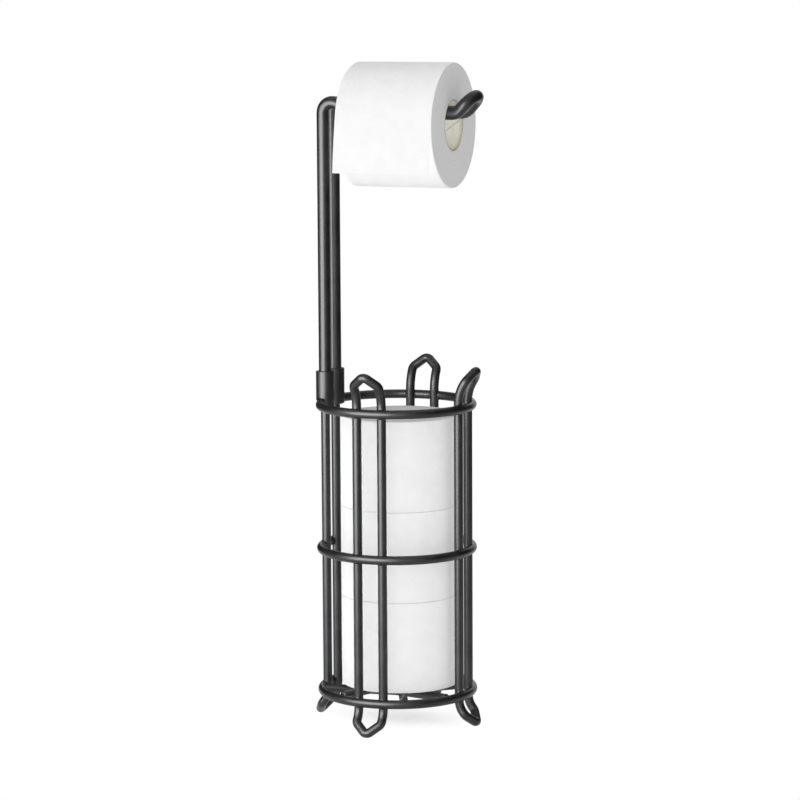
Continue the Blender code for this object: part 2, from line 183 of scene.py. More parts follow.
def densified(path: Array, longest: float) -> Array:
    """The same path with its long runs divided evenly.

    A run of length d becomes ceil(d / longest) equal steps.

    Args:
        path: The points of the path.
        longest: The longest step that may stay.

    Returns:
        The points of the divided path.
    """
    lengths = path_lengths(path)
    runs = np.diff(lengths)
    counts = np.maximum(1, np.ceil(runs / longest - STEP_SLACK)).astype(int)
    ordinals = np.arange(counts.sum()) - np.repeat(np.cumsum(counts) - counts, counts)
    shares = ordinals / np.repeat(counts, counts)
    marks = np.append(np.repeat(lengths[:-1], counts) + np.repeat(runs, counts) * shares, lengths[-1])
    return np.stack([np.interp(marks, lengths, path[:, axis]) for axis in range(path.shape[1])], axis=1)


def rounded(corners: Sequence[Sequence[float]], radii: Sequence[float], step: float) -> Array:
    """A bent wire's route: straight runs with each corner rounded to its own radius.

    The arc about a corner of turn a and radius r starts r * tan(a / 2) before it, and its points are
    start + r * sin(t) * ahead + r * (1 - cos(t)) * inward for t from 0 to a.

    Args:
        corners: The corners, ends included. For a closed route the first is given again at the end.
        radii: A radius for each corner, 0 where it stays sharp and at the ends.
        step: The largest angle between neighbouring points of an arc.

    Returns:
        The points of the route, in order.
    """
    places = np.asarray(corners, dtype=float)
    pieces = []
    for index, radius in enumerate(radii):
        if radius == 0:
            pieces.append(places[index][None])
            continue
        ahead = unit(places[index] - places[index - 1])
        leaving = unit(places[index + 1] - places[index])
        turn = math.acos(float(np.clip(ahead @ leaving, -1, 1)))
        inward = unit(leaving - (leaving @ ahead) * ahead)
        angles = np.linspace(0, turn, max(2, math.ceil(turn / step) + 1))[:, None]
        start = places[index] - ahead * radius * math.tan(turn / 2)
        pieces.append(start + radius * (np.sin(angles) * ahead + (1 - np.cos(angles)) * inward))
    path = np.concatenate(pieces)
    kept = np.append(True, np.linalg.norm(np.diff(path, axis=0), axis=1) > SAME_PLACE)
    return path[kept]


def middle(node: str) -> Vector:
    """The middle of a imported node's box."""
    low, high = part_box(node)
    return (low + high) / 2


@dataclass
class Shell:
    """One closed surface: its corner points, its faces and what its points carry."""

    points: Array
    quads: Array
    triangles: Array = field(default_factory=lambda: np.zeros((0, 3), dtype=int))
    winding: Array | None = None
    marks: dict[str, Array] = field(default_factory=dict)

    def facing_out(self) -> "Shell":
        """Turns the faces outwards, told by the sign of the volume a . (b x c) that they enclose.

        Returns:
            This shell.
        """
        halves = np.concatenate([self.quads[:, [0, 1, 2]], self.quads[:, [0, 2, 3]], self.triangles])
        a, b, c = np.moveaxis(self.points[halves] - self.points.mean(axis=0), 1, 0)
        if np.einsum("ij,ij->", a, np.cross(b, c)) < 0:
            self.quads = self.quads[:, ::-1]
            self.triangles = self.triangles[:, ::-1]
        return self


def grid_quads(rows: int, columns: int, rows_close: bool) -> Array:
    """The quads between neighbouring points of a grid that closes on itself along its columns.

    Args:
        rows: Number of rows.
        columns: Number of columns.
        rows_close: Whether the last row is joined to the first.

    Returns:
        Four corner numbers for each quad.
    """
    row = np.arange(rows if rows_close else rows - 1)[:, None] * columns
    column = np.arange(columns)[None, :]
    next_row = (row + columns) % (rows * columns)
    next_column = (column + 1) % columns
    corners = [row + column, row + next_column, next_row + next_column, next_row + column]
    return np.stack(corners, axis=-1).reshape(-1, 4)


def ring_shell(grid: Array, winding: Array | None = None, **marks: Array) -> Shell:
    """A shell from a grid of points that closes on itself both ways.

    Args:
        grid: Rows x columns x 3 points.
        winding: Rows x columns x 2 places along and across the wound paper, if it has any.
        marks: Rows x columns of values that a finish reads by name.

    Returns:
        The shell.
    """
    rows, columns = grid.shape[:2]
    return Shell(
        points=grid.reshape(-1, 3),
        quads=grid_quads(rows, columns, rows_close=True),
        winding=None if winding is None else winding.reshape(-1, 2),
        marks={name: np.broadcast_to(values, (rows, columns)).ravel() for name, values in marks.items()},
    ).facing_out()


def capped_shell(grid: Array, poles: Array) -> Shell:
    """A shell from a grid that closes on itself along its columns and at a pole beyond each end row.

    Args:
        grid: Rows x columns x 3 points.
        poles: The two poles, 2 x 3.

    Returns:
        The shell, whose ends are fans of triangles round single points.
    """
    rows, columns = grid.shape[:2]
    column = np.arange(columns)
    following = (column + 1) % columns
    last = (rows - 1) * columns
    first_pole = np.full(columns, rows * columns)
    start = np.stack([first_pole, following, column], axis=1)
    end = np.stack([first_pole + 1, last + column, last + following], axis=1)
    return Shell(
        points=np.concatenate([grid.reshape(-1, 3), poles]),
        quads=grid_quads(rows, columns, rows_close=False),
        triangles=np.concatenate([start, end]),
    ).facing_out()


def circles(centre: Array, ahead: Array, normal: Array, radius: Array, sides: int) -> Array:
    """Circles carried along a path.

    Row i is centre_i + r_i * (cos(a) * n_i + sin(a) * t_i x n_i), where a runs once round.

    Args:
        centre: The path, rows x 3.
        ahead: The path's direction t at each point, of any length.
        normal: A unit vector n square to the path at each point.
        radius: The radius r at each point.
        sides: Points in each circle.

    Returns:
        Rows x sides x 3 points.
    """
    across = unit(np.cross(unit(ahead), normal))
    angles = np.linspace(0, math.tau, sides, endpoint=False)[None, :, None]
    section = np.cos(angles) * normal[:, None] + np.sin(angles) * across[:, None]
    return centre[:, None] + radius[:, None, None] * section


def closed_tube(centre: Array, normal: Array, radius: float, sides: int) -> Array:
    """A round wire's grid of points along a path that runs back into its start."""
    ahead = np.roll(centre, -1, axis=0) - np.roll(centre, 1, axis=0)
    return circles(centre, ahead, normal, np.full(len(centre), radius), sides)


def open_tube(centre: Array, normal: Array, radius: float, sides: int, end: Array) -> Shell:
    """A round bar or tube along an open path, finished alike at both ends.

    The rows between the ends are circles of one radius, and each end's rows lie on the straight line of
    the path's last step.

    Args:
        centre: The path, rows x 3.
        normal: A unit vector square to the path at each point.
        radius: The tube's radius.
        sides: Points in each circle.
        end: Rows of (inset, radius) from the pole outwards: how far in from the end, and how wide.

    Returns:
        The shell.
    """
    insets, widths = end[1:].T
    pole_inset, count = end[0, 0], len(insets)
    first = unit(centre[1] - centre[0])
    last = unit(centre[-2] - centre[-1])
    inner = slice(1, -1)

    def with_ends(start: Array, between: Array, stop: Array) -> Array:
        """Rows for the start, the rows between and rows for the end."""
        first_rows, last_rows = (np.broadcast_to(row, (count, 3)) for row in (start, stop))
        return np.concatenate([first_rows, between, last_rows])

    path = with_ends(
        centre[0] + insets[:, None] * first, centre[inner], centre[-1] + insets[::-1, None] * last
    )
    ahead = with_ends(first, np.gradient(centre, axis=0)[inner], -last)
    normals = with_ends(normal[0], normal[inner], normal[-1])
    reach = np.concatenate([widths, np.full(len(centre) - 2, radius), widths[::-1]])
    poles = np.stack([centre[0] + pole_inset * first, centre[-1] + pole_inset * last])
    return capped_shell(circles(path, ahead, normals, reach, sides), poles)


def new_mesh(
    name: str, points: Array, faces: Sequence[Sequence[int]], finish: bpy.types.Material
) -> bpy.types.Mesh:
    """Makes a mesh.

    Args:
        name: Its name.
        points: Its corner points, n x 3.
        faces: The corner numbers of each face.
        finish: Its material.

    Returns:
        The mesh.
    """
    mesh = bpy.data.meshes.new(name)
    mesh.from_pydata(points.tolist(), [], faces)
    mesh.materials.append(finish)
    return mesh


def added(name: str, data: bpy.types.ID) -> bpy.types.Object:
    """Adds an object to the scene.

    Args:
        name: Its name.
        data: The mesh, lamp or camera that it shows.

    Returns:
        The object.
    """
    thing = bpy.data.objects.new(name, data)
    bpy.context.scene.collection.objects.link(thing)
    return thing


def make_piece(
    name: str,
    shells: Sequence[Shell],
    finish: bpy.types.Material,
    body: Body,
    stands_for: str,
) -> bpy.types.Object:
    """Puts shells into one mesh object and hands it to the frame.

    Args:
        name: The piece's name.
        shells: Its closed surfaces.
        finish: Its material.
        body: The body that it moves with.
        stands_for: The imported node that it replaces.

    Returns:
        The new object, at the origin, with its place in its mesh.
    """
    starts = np.cumsum([0] + [len(shell.points) for shell in shells])
    faces = []
    for shell, start in zip(shells, starts):
        faces += (shell.quads + start).tolist() + (shell.triangles + start).tolist()
    mesh = new_mesh(name, np.concatenate([shell.points for shell in shells]), faces, finish)
    for mark in sorted({mark for shell in shells for mark in shell.marks}):
        values = [shell.marks.get(mark, np.zeros(len(shell.points))) for shell in shells]
        layer = mesh.attributes.new(mark, "FLOAT", "POINT")
        layer.data.foreach_set("value", np.concatenate(values).astype(np.float32))
    if shells[0].winding is not None:
        places = np.concatenate([shell.winding for shell in shells])
        corners = np.empty(len(mesh.loops), dtype=np.int32)
        mesh.loops.foreach_get("vertex_index", corners)
        mesh.uv_layers.new(name="winding").data.foreach_set("uv", places[corners].astype(np.float32).ravel())
    mesh.shade_smooth()
    mesh.set_sharp_from_angle(angle=SHARP_ANGLE)
    piece = added(name, mesh)
    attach(piece, body.value)
    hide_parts(stands_for)
    log.info("%s: %d faces, rides on %s", name, len(faces), body.value)
    return piece


class Recipe:
    """One node tree, and the only place where nodes are added to it."""

    def __init__(self, owner: Owner) -> None:
        """Starts with an empty node tree.

        Args:
            owner: The material or world that the nodes belong to.
        """
        owner.use_nodes = True
        self.owner = owner
        self.tree = owner.node_tree
        self.tree.nodes.clear()

    def node(
        self,
        kind: str,
        settings: Mapping[str, object] | None = None,
        sockets: Mapping[str | int, object] | None = None,
        output: str | int = 0,
    ) -> "Signal":
        """Adds any node.

        Args:
            kind: The node's type without its ShaderNode prefix.
            settings: The node's own properties, which are set before its sockets.
            sockets: A value, or a Signal to link, for each input socket.
            output: The output socket that is handed back.

        Returns:
            That output as a Signal.
        """
        node = self.tree.nodes.new("ShaderNode" + kind)
        for key, value in (settings or {}).items():
            setattr(node, key, value)
        for key, value in (sockets or {}).items():
            if isinstance(value, Signal):
                self.tree.links.new(value.socket, node.inputs[key])
            else:
                node.inputs[key].default_value = value
        return Signal(self, node.outputs[output] if node.outputs else None)

    def place(self) -> "Signal":
        """The point's own coordinates on the piece, in metres."""
        return self.node("TexCoord", output="Object")

    def mark(self, name: str) -> "Signal":
        """A value that the mesh carries at its points."""
        return self.node("Attribute", {"attribute_name": name}, output="Fac")

    def stretched(self, vector: "Signal", scale: Sequence[float]) -> "Signal":
        """The vector with each of its parts multiplied by its own factor."""
        return self.node("VectorMath", {"operation": "MULTIPLY"}, {0: vector, 1: tuple(scale)})

    def noise(self, vector: "Signal", scale: float, detail: float = 2.0) -> "Signal":
        """Soft irregular values around 0.5, with features about 1 / scale metres wide."""
        return self.node("TexNoise", sockets={"Vector": vector, "Scale": scale, "Detail": detail})

    def blend(self, share: Operand, first: Tint, second: Tint) -> "Signal":
        """Blends two colours.

        Args:
            share: 0 for the first colour, 1 for the second.
            first: The first colour.
            second: The second colour.

        Returns:
            The blended colour.
        """
        settings = {"data_type": "RGBA", "clamp_factor": True}
        sockets = {0: share, MIX_FIRST: opaque(first), MIX_SECOND: opaque(second)}
        return self.node("Mix", settings, sockets, output=MIX_RESULT)

    def relief(self, height: "Signal", depth: float, before: Union["Signal", None] = None) -> "Signal":
        """A Bump whose height signal of 0 to 1 stands for a depth in metres."""
        sockets = {"Height": height, "Distance": depth, "Strength": 1.0}
        return self.node("Bump", sockets=sockets if before is None else sockets | {"Normal": before})

    def matt(self, colour: Colour) -> "Signal":
        """A diffuse shader."""
        return self.node("BsdfDiffuse", sockets={"Color": opaque(colour)})

    def glow(self, strength: float) -> "Signal":
        """A shader that gives off white light."""
        return self.node("Emission", sockets={"Color": opaque(WHITE), "Strength": strength})

    def mixed(self, share: "Signal", first: "Signal", second: "Signal") -> "Signal":
        """A shader that goes from the first to the second as the share goes from 0 to 1."""
        return self.node("MixShader", sockets={0: share, 1: first, 2: second})

    def looked_at(self) -> "Signal":
        """Tells the rays that show the background itself: from the camera, mirrored or let through.

        Returns:
            1 for such a ray, and 0 for any other.
        """
        camera, glossy, through = (
            self.node("LightPath", output=f"Is {kind} Ray") for kind in ("Camera", "Glossy", "Transmission")
        )
        return camera.larger(glossy).larger(through)

    def finish(self, shader: "Signal") -> Owner:
        """Links the finished shader to the output.

        Args:
            shader: The shader that the nodes lead to.

        Returns:
            The material or world.
        """
        kind = "OutputWorld" if isinstance(self.owner, bpy.types.World) else "OutputMaterial"
        self.node(kind, sockets={"Surface": shader})
        return self.owner


class Signal:
    """A shader socket that can be used in Python arithmetic, each operator adding one Math node."""

    def __init__(self, recipe: Recipe, socket: bpy.types.NodeSocket | None) -> None:
        """Wraps an output socket of one of the recipe's nodes."""
        self.recipe = recipe
        self.socket = socket

    def _math(self, operation: str, first: Operand, second: Operand) -> "Signal":
        """Adds a Math node on two operands."""
        return self.recipe.node("Math", {"operation": operation}, {0: first, 1: second})

    def __add__(self, other: Operand) -> "Signal":
        """self + other."""
        return self._math("ADD", self, other)

    def __radd__(self, other: Number) -> "Signal":
        """other + self."""
        return self._math("ADD", other, self)

    def __sub__(self, other: Operand) -> "Signal":
        """self - other."""
        return self._math("SUBTRACT", self, other)

    def __rsub__(self, other: Number) -> "Signal":
        """other - self."""
        return self._math("SUBTRACT", other, self)

    def __mul__(self, other: Operand) -> "Signal":
        """self * other."""
        return self._math("MULTIPLY", self, other)

    def __rmul__(self, other: Number) -> "Signal":
        """other * self."""
        return self._math("MULTIPLY", other, self)

    def sine(self) -> "Signal":
        """The sine of the value, in radians."""
        return self._math("SINE", self, 0)

    def larger(self, other: Operand) -> "Signal":
        """The larger of the two values."""
        return self._math("MAXIMUM", self, other)

    def ramp(self, span: Span) -> "Signal":
        """0 below the span, 1 above it, and a smooth step between its ends."""
        sockets = {"Value": self, "From Min": span[0], "From Max": span[1]}
        return self.recipe.node("MapRange", {"interpolation_type": "SMOOTHSTEP"}, sockets)


def opaque(colour: Tint) -> Union[Signal, tuple[float, float, float, float]]:
    """A colour's three parts with an alpha of 1. A Signal is handed back as it is."""
    return colour if isinstance(colour, Signal) else (*colour, 1.0)


class Finish:
    """A material, whose shader is described by the surface method of each kind."""

    name: str

    def surface(self, recipe: Recipe) -> Signal:
        """The finish's shader."""
        raise NotImplementedError

    def make(self) -> bpy.types.Material:
        """Builds the material."""
        recipe = Recipe(bpy.data.materials.new(self.name))
        return recipe.finish(self.surface(recipe))


@dataclass(frozen=True)
class BlackCoat(Finish):
    """Satin black powder coat: a faint orange peel, and a roughness that drifts a little along the wire."""

    name: str = "black_coat"
    colour: Colour = (0.009, 0.009, 0.0095)
    pale_colour: Colour = (0.017, 0.017, 0.0175)
    specular_level: float = 0.34
    roughness: float = 0.35
    roughness_drift: float = 0.08
    cloud_scale: float = 55.0
    cloud_span: Span = (0.3, 0.7)
    peel_scale: float = 620.0
    peel_detail: float = 1.0
    peel_depth: float = 0.000006

    def surface(self, recipe: Recipe) -> Signal:
        """The coat's shader.

        Args:
            recipe: The material's node tree.

        Returns:
            The shader, with colour and roughness from one cloud and relief from the peel.
        """
        place = recipe.place()
        cloud = recipe.noise(place, self.cloud_scale)
        peel = recipe.noise(place, self.peel_scale, self.peel_detail)
        sockets = {
            "Base Color": recipe.blend(cloud.ramp(self.cloud_span), self.colour, self.pale_colour),
            "Roughness": self.roughness + (cloud - NOISE_MIDDLE) * self.roughness_drift,
            "Specular IOR Level": self.specular_level,
            "Normal": recipe.relief(peel, self.peel_depth),
        }
        return recipe.node("BsdfPrincipled", sockets=sockets)


@dataclass(frozen=True)
class Tissue(Finish):
    """Soft white paper: clouded, grained and dimpled on its face, streaked in layers at a roll's ends, where
    its colour is darker as painted shade.
    """

    name: str = "tissue"
    colour: Colour = (0.93, 0.93, 0.93)
    shade_colour: Colour = (0.90, 0.90, 0.90)
    # The ends' colours are darker than the face's. That is painted shade, for the end faces taking less
    # light and for the shade between the paper's layers. The streaks between the two are the paper's own.
    painted_shade_end_colour: Colour = (0.683, 0.683, 0.68)
    painted_shade_end_streak_colour: Colour = (0.655, 0.655, 0.652)
    roughness: float = 0.88
    roughness_drift: float = 0.1
    specular_level: float = 0.12
    cloud_scale: float = 70.0
    cloud_detail: float = 3.0
    cloud_share: float = 0.6
    cloud_span: Span = (0.35, 0.65)
    grain_scale: float = 900.0
    grain_depth: float = 0.00010
    dimple_scale: float = 330.0
    dimple_depth: float = 0.00016
    layer_pitch: float = 0.0007
    layer_depth: float = 0.000012
    layer_share: float = 0.02
    streak_stretch: tuple[float, float, float] = (1.2, 420.0, 0.0)
    streak_detail: float = 3.0
    streak_span: Span = (0.3, 0.7)

    def surface(self, recipe: Recipe) -> Signal:
        """The paper's shader.

        Args:
            recipe: The material's node tree.

        Returns:
            The shader, which goes from face to end by the mesh's own roll_end values.
        """
        place, winding = recipe.place(), recipe.node("UVMap", {"uv_map": "winding"})
        cloud = recipe.noise(place, self.cloud_scale, self.cloud_detail)
        grain = recipe.noise(place, self.grain_scale)
        dimple = recipe.node("TexVoronoi", sockets={"Vector": place, "Scale": self.dimple_scale})
        clouded = cloud * self.cloud_share + grain * (1 - self.cloud_share)
        face = recipe.blend(clouded.ramp(self.cloud_span), self.shade_colour, self.colour)

        across = recipe.node("SeparateXYZ", sockets={0: winding}, output="Y")
        layer = (across * (math.tau / self.layer_pitch)).sine() * 0.5 + 0.5
        streak = recipe.noise(recipe.stretched(winding, self.streak_stretch), 1.0, self.streak_detail)
        streaked = streak * (1 - self.layer_share) + layer * self.layer_share
        # The end face's streaked colour, darkened as painted shade.
        end = recipe.blend(streaked.ramp(self.streak_span), self.painted_shade_end_streak_colour, self.painted_shade_end_colour)

        is_end = recipe.mark("roll_end")
        face_normal = recipe.relief(dimple, self.dimple_depth, recipe.relief(grain, self.grain_depth))
        sockets = {
            "Base Color": recipe.blend(is_end, face, end),
            "Roughness": self.roughness + cloud * self.roughness_drift,
            "Specular IOR Level": self.specular_level,
            "Normal": recipe.relief(layer * is_end, self.layer_depth, face_normal),
        }
        return recipe.node("BsdfPrincipled", sockets=sockets)


@dataclass(frozen=True)
class CoreBoard(Finish):
    """Grey-cream cardboard: fibres, a darker wound seam and brown cut edges."""

    name: str = "core_board"
    colour: Colour = (0.74, 0.73, 0.645)
    fibre_colour: Colour = (0.66, 0.65, 0.56)
    seam_colour: Colour = (0.42, 0.39, 0.29)
    edge_colour: Colour = (0.33, 0.25, 0.15)
    roughness: float = 0.8
    roughness_drift: float = 0.15
    specular_level: float = 0.2
    fibre_scale: float = 260.0
    fibre_detail: float = 5.0
    fibre_span: Span = (0.35, 0.7)
    fibre_depth: float = 0.00008

    def surface(self, recipe: Recipe) -> Signal:
        """The board's shader.

        Args:
            recipe: The material's node tree.

        Returns:
            The shader, with seam and edges from the mesh's own seam and cut_edge values.
        """
        fibre = recipe.noise(recipe.place(), self.fibre_scale, self.fibre_detail)
        plain = recipe.blend(fibre.ramp(self.fibre_span), self.fibre_colour, self.colour)
        seamed = recipe.blend(recipe.mark("seam"), plain, self.seam_colour)
        sockets = {
            "Base Color": recipe.blend(recipe.mark("cut_edge"), seamed, self.edge_colour),
            "Roughness": self.roughness + fibre * self.roughness_drift,
            "Specular IOR Level": self.specular_level,
            "Normal": recipe.relief(fibre, self.fibre_depth),
        }
        return recipe.node("BsdfPrincipled", sockets=sockets)


@dataclass(frozen=True)
class PaleFloor(Finish):
    """A floor that looks white and keeps the object's shadow, and fades into the white behind it."""

    name: str = "pale_floor"
    bounce: Colour = (0.90, 0.90, 0.90)
    shown: Colour = (0.80, 0.80, 0.80)
    lift: float = 0.42
    shade_centre: tuple[float, float, float] = (0.002, 0.010, 0.0)
    shade_narrowing: tuple[float, float, float] = (0.6, 1.0, 0.0)
    fade_span: Span = (0.004, 0.052)

    def surface(self, recipe: Recipe) -> Signal:
        """The floor's shader.

        Args:
            recipe: The material's node tree.

        Returns:
            The shader: for a ray that looks at it, a shadowed floor that fades to white with the distance
            from the shade's centre, and for any other ray plain matt floor.
        """
        from_centre = {0: recipe.place(), 1: self.shade_centre}
        offset = recipe.node("VectorMath", {"operation": "SUBTRACT"}, from_centre)
        narrowed = recipe.stretched(offset, self.shade_narrowing)
        distance = recipe.node("VectorMath", {"operation": "LENGTH"}, {0: narrowed}, output="Value")
        shadowed = recipe.node("AddShader", sockets={0: recipe.matt(self.shown), 1: recipe.glow(self.lift)})
        seen = recipe.mixed(distance.ramp(self.fade_span), shadowed, recipe.glow(1.0))
        return recipe.mixed(recipe.looked_at(), recipe.matt(self.bounce), seen)


@dataclass(frozen=True)
class DarkCloth(Finish):
    """The matt black cloth of the studio's flags."""

    name: str = "dark_flag"
    colour: Colour = (0.01, 0.01, 0.01)

    def surface(self, recipe: Recipe) -> Signal:
        """The cloth's shader."""
        return recipe.matt(self.colour)


@dataclass(frozen=True)
class Lean:
    """A wire that runs straight, bends round a radius and then leans outwards."""

    straight: float
    radius: float
    angle: float

    def length(self, rise: float) -> float:
        """How much wire it takes to rise so far."""
        bend_rise = self.straight + self.radius * math.sin(self.angle)
        return self.straight + self.radius * self.angle + (rise - bend_rise) / math.cos(self.angle)

    def place(self, travel: Array) -> tuple[Array, Array, Array]:
        """Where points lie that are so far along the wire.

        Past the straight run s the wire turns by t = (travel - s) / r, up to the full lean, and its point
        is r * (1 - cos t) outwards and s + r * sin t along. Beyond the bend it goes on straight.

        Args:
            travel: Distances along the wire, which may be negative.

        Returns:
            How far outwards, how far along, and the angle of lean.
        """
        past = np.maximum(travel - self.straight, 0)
        tilt = np.minimum(past / self.radius, self.angle)
        beyond = np.maximum(past - self.radius * self.angle, 0)
        outward = self.radius * (1 - np.cos(tilt)) + beyond * math.sin(self.angle)
        along = self.radius * np.sin(tilt) + beyond * math.cos(self.angle)
        return outward, np.minimum(travel, self.straight) + along, tilt


@dataclass
class Basket:
    """The welded wire basket: three rings, four pairs of leg wires, four base bars and two sockets."""

    coat: bpy.types.Material
    levels: tuple[str, ...] = ("bottom", "middle", "top")
    ring_diameter: float = 0.160
    ring_wire: float = 0.009
    leg_wire: float = 0.009
    base_wire: float = 0.0084
    wire_sides: int = 32
    ring_steps: int = 288
    pair_spacing: float = 0.026
    pair_inset: float = 0.0045
    foot_flat: float = 0.0004
    foot: Lean = Lean(0.0046, 0.020, math.radians(38))
    tip_rise: float = 0.0363
    tip: Lean = Lean(0.0046, 0.038, math.radians(34))
    point_half_angle: float = math.radians(46)
    point_bend: float = 0.005
    shoulder_bend: float = 0.007
    leg_bend_step: float = math.radians(6)
    leg_step: float = 0.002
    bar_layer_offset: float = 0.0031
    lower_bar_end_rise: float = 0.0014
    bar_end_angle: float = math.radians(26.5)
    bar_bend: float = 0.012
    bar_bend_step: float = math.radians(3)
    bar_step: float = 0.003
    bar_end_share: float = 0.25
    bar_end_edge: float = 0.0014
    bar_edge_points: int = 6
    fillet: float = 0.0011
    fillet_sunk: float = 0.00004
    fillet_back_share: float = 0.3
    fillet_steps: int = 72
    fillet_points: int = 7
    sleeve_diameter: float = 0.0183
    sleeve_edge: float = 0.0007
    sleeve_edge_points: int = 5
    sleeve_columns: int = 96
    sleeve_levels: int = 16
    socket_depth: float = 0.025
    socket_bore: float = 0.0130
    socket_bore_row: float = 0.004
    wire_clearance: float = 0.0001
    overhang_share: float = 0.8
    saddle_step: Span = (-0.0002, 0.0006)
    socket_flare: float = 0.0024
    flare_outside: Span = (0.5, 1.0)
    flare_inside: Span = (-1.0, -0.7)

    def __post_init__(self) -> None:
        """Works out the shared distances, and reads the rings' heights from the frame."""
        self.ring_radius = (self.ring_diameter - self.ring_wire) / 2
        self.pair_plane = self.ring_radius - self.pair_inset
        self.half_spacing = self.pair_spacing / 2
        self.heights = [middle(f"{level}_ring").z for level in self.levels]

    def build(self) -> None:
        """Builds every piece of the basket."""
        for level, height in zip(self.levels, self.heights):
            self.build_ring(level, height)
        for side in (Side.FRONT, Side.RIGHT, Side.BACK):
            self.build_leg_loop(side)
        self.build_left_leg()
        for side in Side:
            self.build_bar(side)
        for name, sign in (("front_sleeve", -1), ("rear_sleeve", 1)):
            self.build_sleeve(name, sign)

    def piece(self, node: str, shells: Sequence[Shell]) -> None:
        """Adds the black piece that stands for a node of the basket."""
        make_piece(f"coated_{node}", shells, self.coat, Body.BASKET, node)

    def build_ring(self, level: str, height: float) -> None:
        """A ring of round wire, with a fillet of weld round each leg wire that is sunk into it.

        Args:
            level: Which ring it is.
            height: The height of its centre line, (R cos a, R sin a, height).
        """
        angles = np.linspace(0, math.tau, self.ring_steps, endpoint=False)
        outward = np.stack([np.cos(angles), np.sin(angles), np.zeros_like(angles)], axis=1)
        centre = outward * self.ring_radius + height * UPWARD
        shells = [ring_shell(closed_tube(centre, outward, self.ring_wire / 2, self.wire_sides))]
        for side in Side:
            in_socket = side is Side.LEFT and level == "top"
            if not in_socket:
                shells += [self.leg_fillet(side, sign, height) for sign in (-1, 1)]
        self.piece(f"{level}_ring", shells)

    def leg_fillet(self, side: Side, sign: int, height: float) -> Shell:
        """The weld's fillet along the seam where an upright wire sinks into a ring.

        The wire's surface is q + a * (cos p, sin p) in plan, with p from its outward direction. At each p
        the ring's surface lies sqrt(b^2 - (rho - R)^2) above and below its centre. p = P * cos(w) with w
        from 0 to a full turn runs once round that seam, P being where both heights meet. Across the seam
        the fillet bows from the wire's side to the ring's side, drawn in to the seam, and closes behind it.

        Args:
            side: The side of the basket.
            sign: Which wire of the pair.
            height: The ring's height.

        Returns:
            The fillet.
        """
        a, b, big = self.leg_wire / 2, self.ring_wire / 2, self.ring_radius
        wire = np.array([sign * self.half_spacing, -self.pair_plane])
        reach = float(np.linalg.norm(wire))
        outward = wire / reach
        sideways = np.array([-outward[1], outward[0]])
        widest = math.acos(((big - b) ** 2 - reach**2 - a**2) / (2 * reach * a))
        turn = np.linspace(0, math.tau, self.fillet_steps, endpoint=False)
        angle = widest * np.cos(turn)
        around = np.cos(angle)[:, None] * outward + np.sin(angle)[:, None] * sideways
        plan = wire + a * around
        rho = np.linalg.norm(plan, axis=1)
        lift = np.sign(np.sin(turn)) * np.sqrt(np.maximum(b**2 - (rho - big) ** 2, 0))
        seam = np.column_stack([plan, height + lift])
        on_wire = np.column_stack([around, np.zeros(len(turn))])
        spoke = np.column_stack([plan / rho[:, None], np.zeros(len(turn))])
        on_ring = unit(seam - spoke * big - height * UPWARD)
        along = unit(np.roll(seam, -1, axis=0) - np.roll(seam, 1, axis=0))
        up_wire = facing(np.cross(along, on_wire), on_ring)
        out_ring = facing(np.cross(along, on_ring), on_wire)
        foot_wire = seam + self.fillet * up_wire - self.fillet_sunk * on_wire
        foot_ring = seam + self.fillet * out_ring - self.fillet_sunk * on_ring
        share = np.linspace(0, 1, self.fillet_points)[None, :, None]
        face = bow(foot_wire[:, None], seam[:, None], foot_ring[:, None], share)
        behind = seam - self.fillet_back_share * self.fillet * unit(on_wire + on_ring)
        return ring_shell(side.turn(np.concatenate([face, behind[:, None]], axis=1)))

    def leg_route(self, top: float | None) -> Array:
        """A leg wire's flat route as (across, height when unbent).

        Args:
            top: The height where the wire ends, or None for a loop that is closed by a pointed tip.

        Returns:
            The route's points. A loop's first point is given again at its end.
        """
        low_ring, high_ring = self.heights[0], self.heights[-1]
        overshoot = self.point_bend * (1 / math.sin(self.point_half_angle) - 1)
        point_height = self.half_spacing / math.tan(self.point_half_angle)
        foot_rise = low_ring - (self.leg_wire / 2 - self.foot_flat)
        foot_end = low_ring - self.foot.length(foot_rise) - overshoot
        foot_shoulder = foot_end + point_height
        half = self.half_spacing
        foot = [(-half, foot_shoulder), (0, foot_end), (half, foot_shoulder)]
        bends = [self.shoulder_bend, self.point_bend, self.shoulder_bend]
        if top is not None:
            return rounded([(-half, top), *foot, (half, top)], [0, *bends, 0], self.leg_bend_step)
        tip_end = high_ring + self.tip.length(self.tip_rise) + overshoot
        tip_shoulder = tip_end - point_height
        tip = [(half, tip_shoulder), (0, tip_end), (-half, tip_shoulder)]
        start = (-half, (low_ring + high_ring) / 2)
        return rounded([start, *foot, *tip, start], [0, *bends, *bends, 0], self.leg_bend_step)

    def bent_out(self, flat: Array, side: Side) -> tuple[Array, Array]:
        """A flat leg wire bent out at its foot and tip.

        Args:
            flat: Its flat route.
            side: The side of the basket.

        Returns:
            The wire's centre line, and (0, -cos t, sin t) along it for a lean of t, which is square to it.
        """
        low_ring, high_ring = self.heights[0], self.heights[-1]
        foot_out, foot_down, foot_tilt = self.foot.place(low_ring - flat[:, 1])
        tip_out, tip_up, tip_tilt = self.tip.place(flat[:, 1] - high_ring)
        height = np.where(flat[:, 1] > high_ring, high_ring + tip_up, low_ring - foot_down)
        tilt = foot_tilt - tip_tilt
        place = np.stack([flat[:, 0], -self.pair_plane - foot_out - tip_out, height], axis=1)
        normal = np.stack([np.zeros_like(tilt), -np.cos(tilt), np.sin(tilt)], axis=1)
        return side.turn(place), side.turn(normal)

